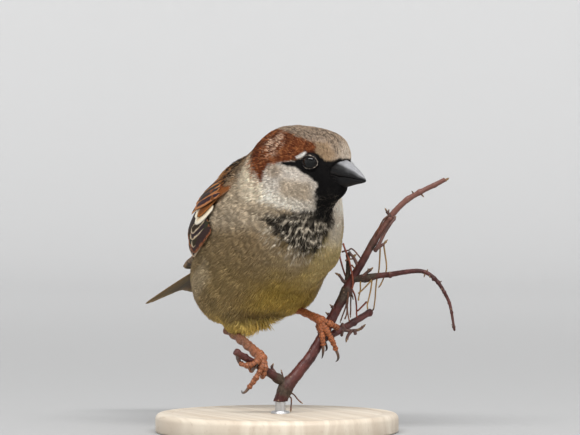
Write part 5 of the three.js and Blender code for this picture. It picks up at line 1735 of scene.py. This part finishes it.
for name in ("spurs", "stalks_red", "stalks_dark", "stalks_olive"):
    radius, lines = stalks[name]
    bm = bmesh.new()
    for k, points in enumerate(lines):
        line = Line(fromFront(seated(points)), count=120)
        carriers.append((line.points, np.full(len(line.points), radius[1] * 0.6)))
        swell = 0.6 / line.length
        ends = [(1.0, 0.35, swell), (0.0, 0.3, swell)]
        thick = {"from": radius[0], "to": radius[1], "power": 1, "knots": ends}
        formed(bm, twigShape(line, thick, 70 + k), max(8, int(line.length / 0.32)), 9)
    piece(bm, name, stalkPaints[name])
bm = bmesh.new()
for k, (place, long, wide, (across, rise)) in enumerate(buds):
    way = unit(np.array((across, rise, 0.25)))
    foot = np.array(place) - way * long * 0.3
    _, seat, radius = nearest(foot)
    away = foot - seat
    foot = seat + away * min(1, radius / max(np.linalg.norm(away), 1e-6))
    line = Line(fromFront([foot + way * long * reach for reach in (-0.15, 0.5, 1.05)]), count=40)

    def scales(u, w, wide=wide, k=k):
        body = np.sin(math.pi * np.clip(u, 0, 1) ** 0.75) ** 0.7
        rows = 0.16 * np.sin(u * 17 + 4 * math.pi * w + k) + 0.10 * np.sin(6 * math.pi * w + k * 2)
        return wide / 2 * body * (1 + rows)

    formed(bm, tube(line, scales), 14, 12)
piece(bm, "buds", budPaint)
print("perch ready")

# stand: a turned base with a bevelled edge, and a short steel rod
standSettings = {
    "foot": [(0, 0), (37.2, 0), (37.7, 0.18), (38.0, 0.6)], "edgeMid": (36.2, 4.2), "edge": 1.8,
    "top": [(33.4, 6.0), (33.1, 5.86), (32.8, 5.82), (32.5, 5.86), (32.2, 6.0), (20, 6), (8, 6), (0, 6)],
    "rodAt": (-0.5, -3.6), "rod": (1.6, 1.6, 6.03, 9.77, 0.18), "collar": (3.0, 2.7, 6.0, 6.8, 0.15),
}
edgeMid, edge = standSettings["edgeMid"], standSettings["edge"]
turns = [math.pi / 2 * step / 8 for step in range(9)]  # the rounded upper edge
rounded = [(edgeMid[0] + edge * math.cos(turn), edgeMid[1] + edge * math.sin(turn)) for turn in turns]
bm = wholeTurn(standSettings["foot"] + rounded + standSettings["top"], 128)
woodPaint = Paint("stand_wood", {"Specular IOR Level": 0.4, "Coat Weight": 0.12, "Coat Roughness": 0.4})
wander = woodPaint.noise(woodPaint.stretched((1, 0.25, 1)), 45.0)
across = woodPaint.parts(woodPaint.places)[0]
rings = woodPaint.noise(woodPaint.joined(across * 260 + wander * 3.2, wander * 0.4, 0.0), 1.0, 2.0)
pores = woodPaint.noise(woodPaint.stretched((1, 0.06, 0.4)), 1400.0)
grain = woodPaint.mix(woodPaint.steps(rings, 0.36, 0.68), (0.56, 0.47, 0.37), (0.68, 0.60, 0.49))
grain = woodPaint.mix(woodPaint.steps(pores, 0.56, 0.78) * 0.45, grain, (0.40, 0.31, 0.22))
woodPaint.drive(Base_Color=grain, Roughness=pores * 0.25 + 0.38, Normal=woodPaint.bump(pores, 0.06 * mm, 0.5))
piece(bm, "stand_base_turned", woodPaint.material, ["stand_base"])
bm = bmesh.new()
for key in ("rod", "collar"):  # lower and upper radius, foot, top and bevel
    lower, upper, foot, top, bevel = standSettings[key]
    made = bmesh.ops.create_cone(
        bm, cap_ends=True, segments=48, radius1=lower * mm, radius2=upper * mm, depth=(top - foot) * mm
    )["verts"]
    bmesh.ops.translate(bm, verts=made, vec=Vector((*standSettings["rodAt"], (foot + top) / 2)) * mm)
    rims = {e for v in made for e in v.link_edges if abs(e.verts[0].co.z - e.verts[1].co.z) < 1e-7}
    bmesh.ops.bevel(
        bm, geom=list(rims), offset=bevel * mm, affect="EDGES", segments=3, profile=0.5, material=-1
    )
steelPaint = Paint("stand_steel", {"Metallic": 1.0, "IOR": 2.5})
brushed = steelPaint.noise(steelPaint.stretched((0.2, 0.2, 6)), 900.0)
steelPaint.drive(
    Base_Color=steelPaint.mix(brushed, (0.42, 0.42, 0.43), (0.58, 0.58, 0.58)),
    Roughness=brushed * 0.25 + 0.22,
    Normal=steelPaint.bump(brushed, 0.03 * mm, 0.5),
)
piece(bm, "stand_rod_steel", steelPaint.material, ["stand_rod"], smooth=False)
print("stand ready")
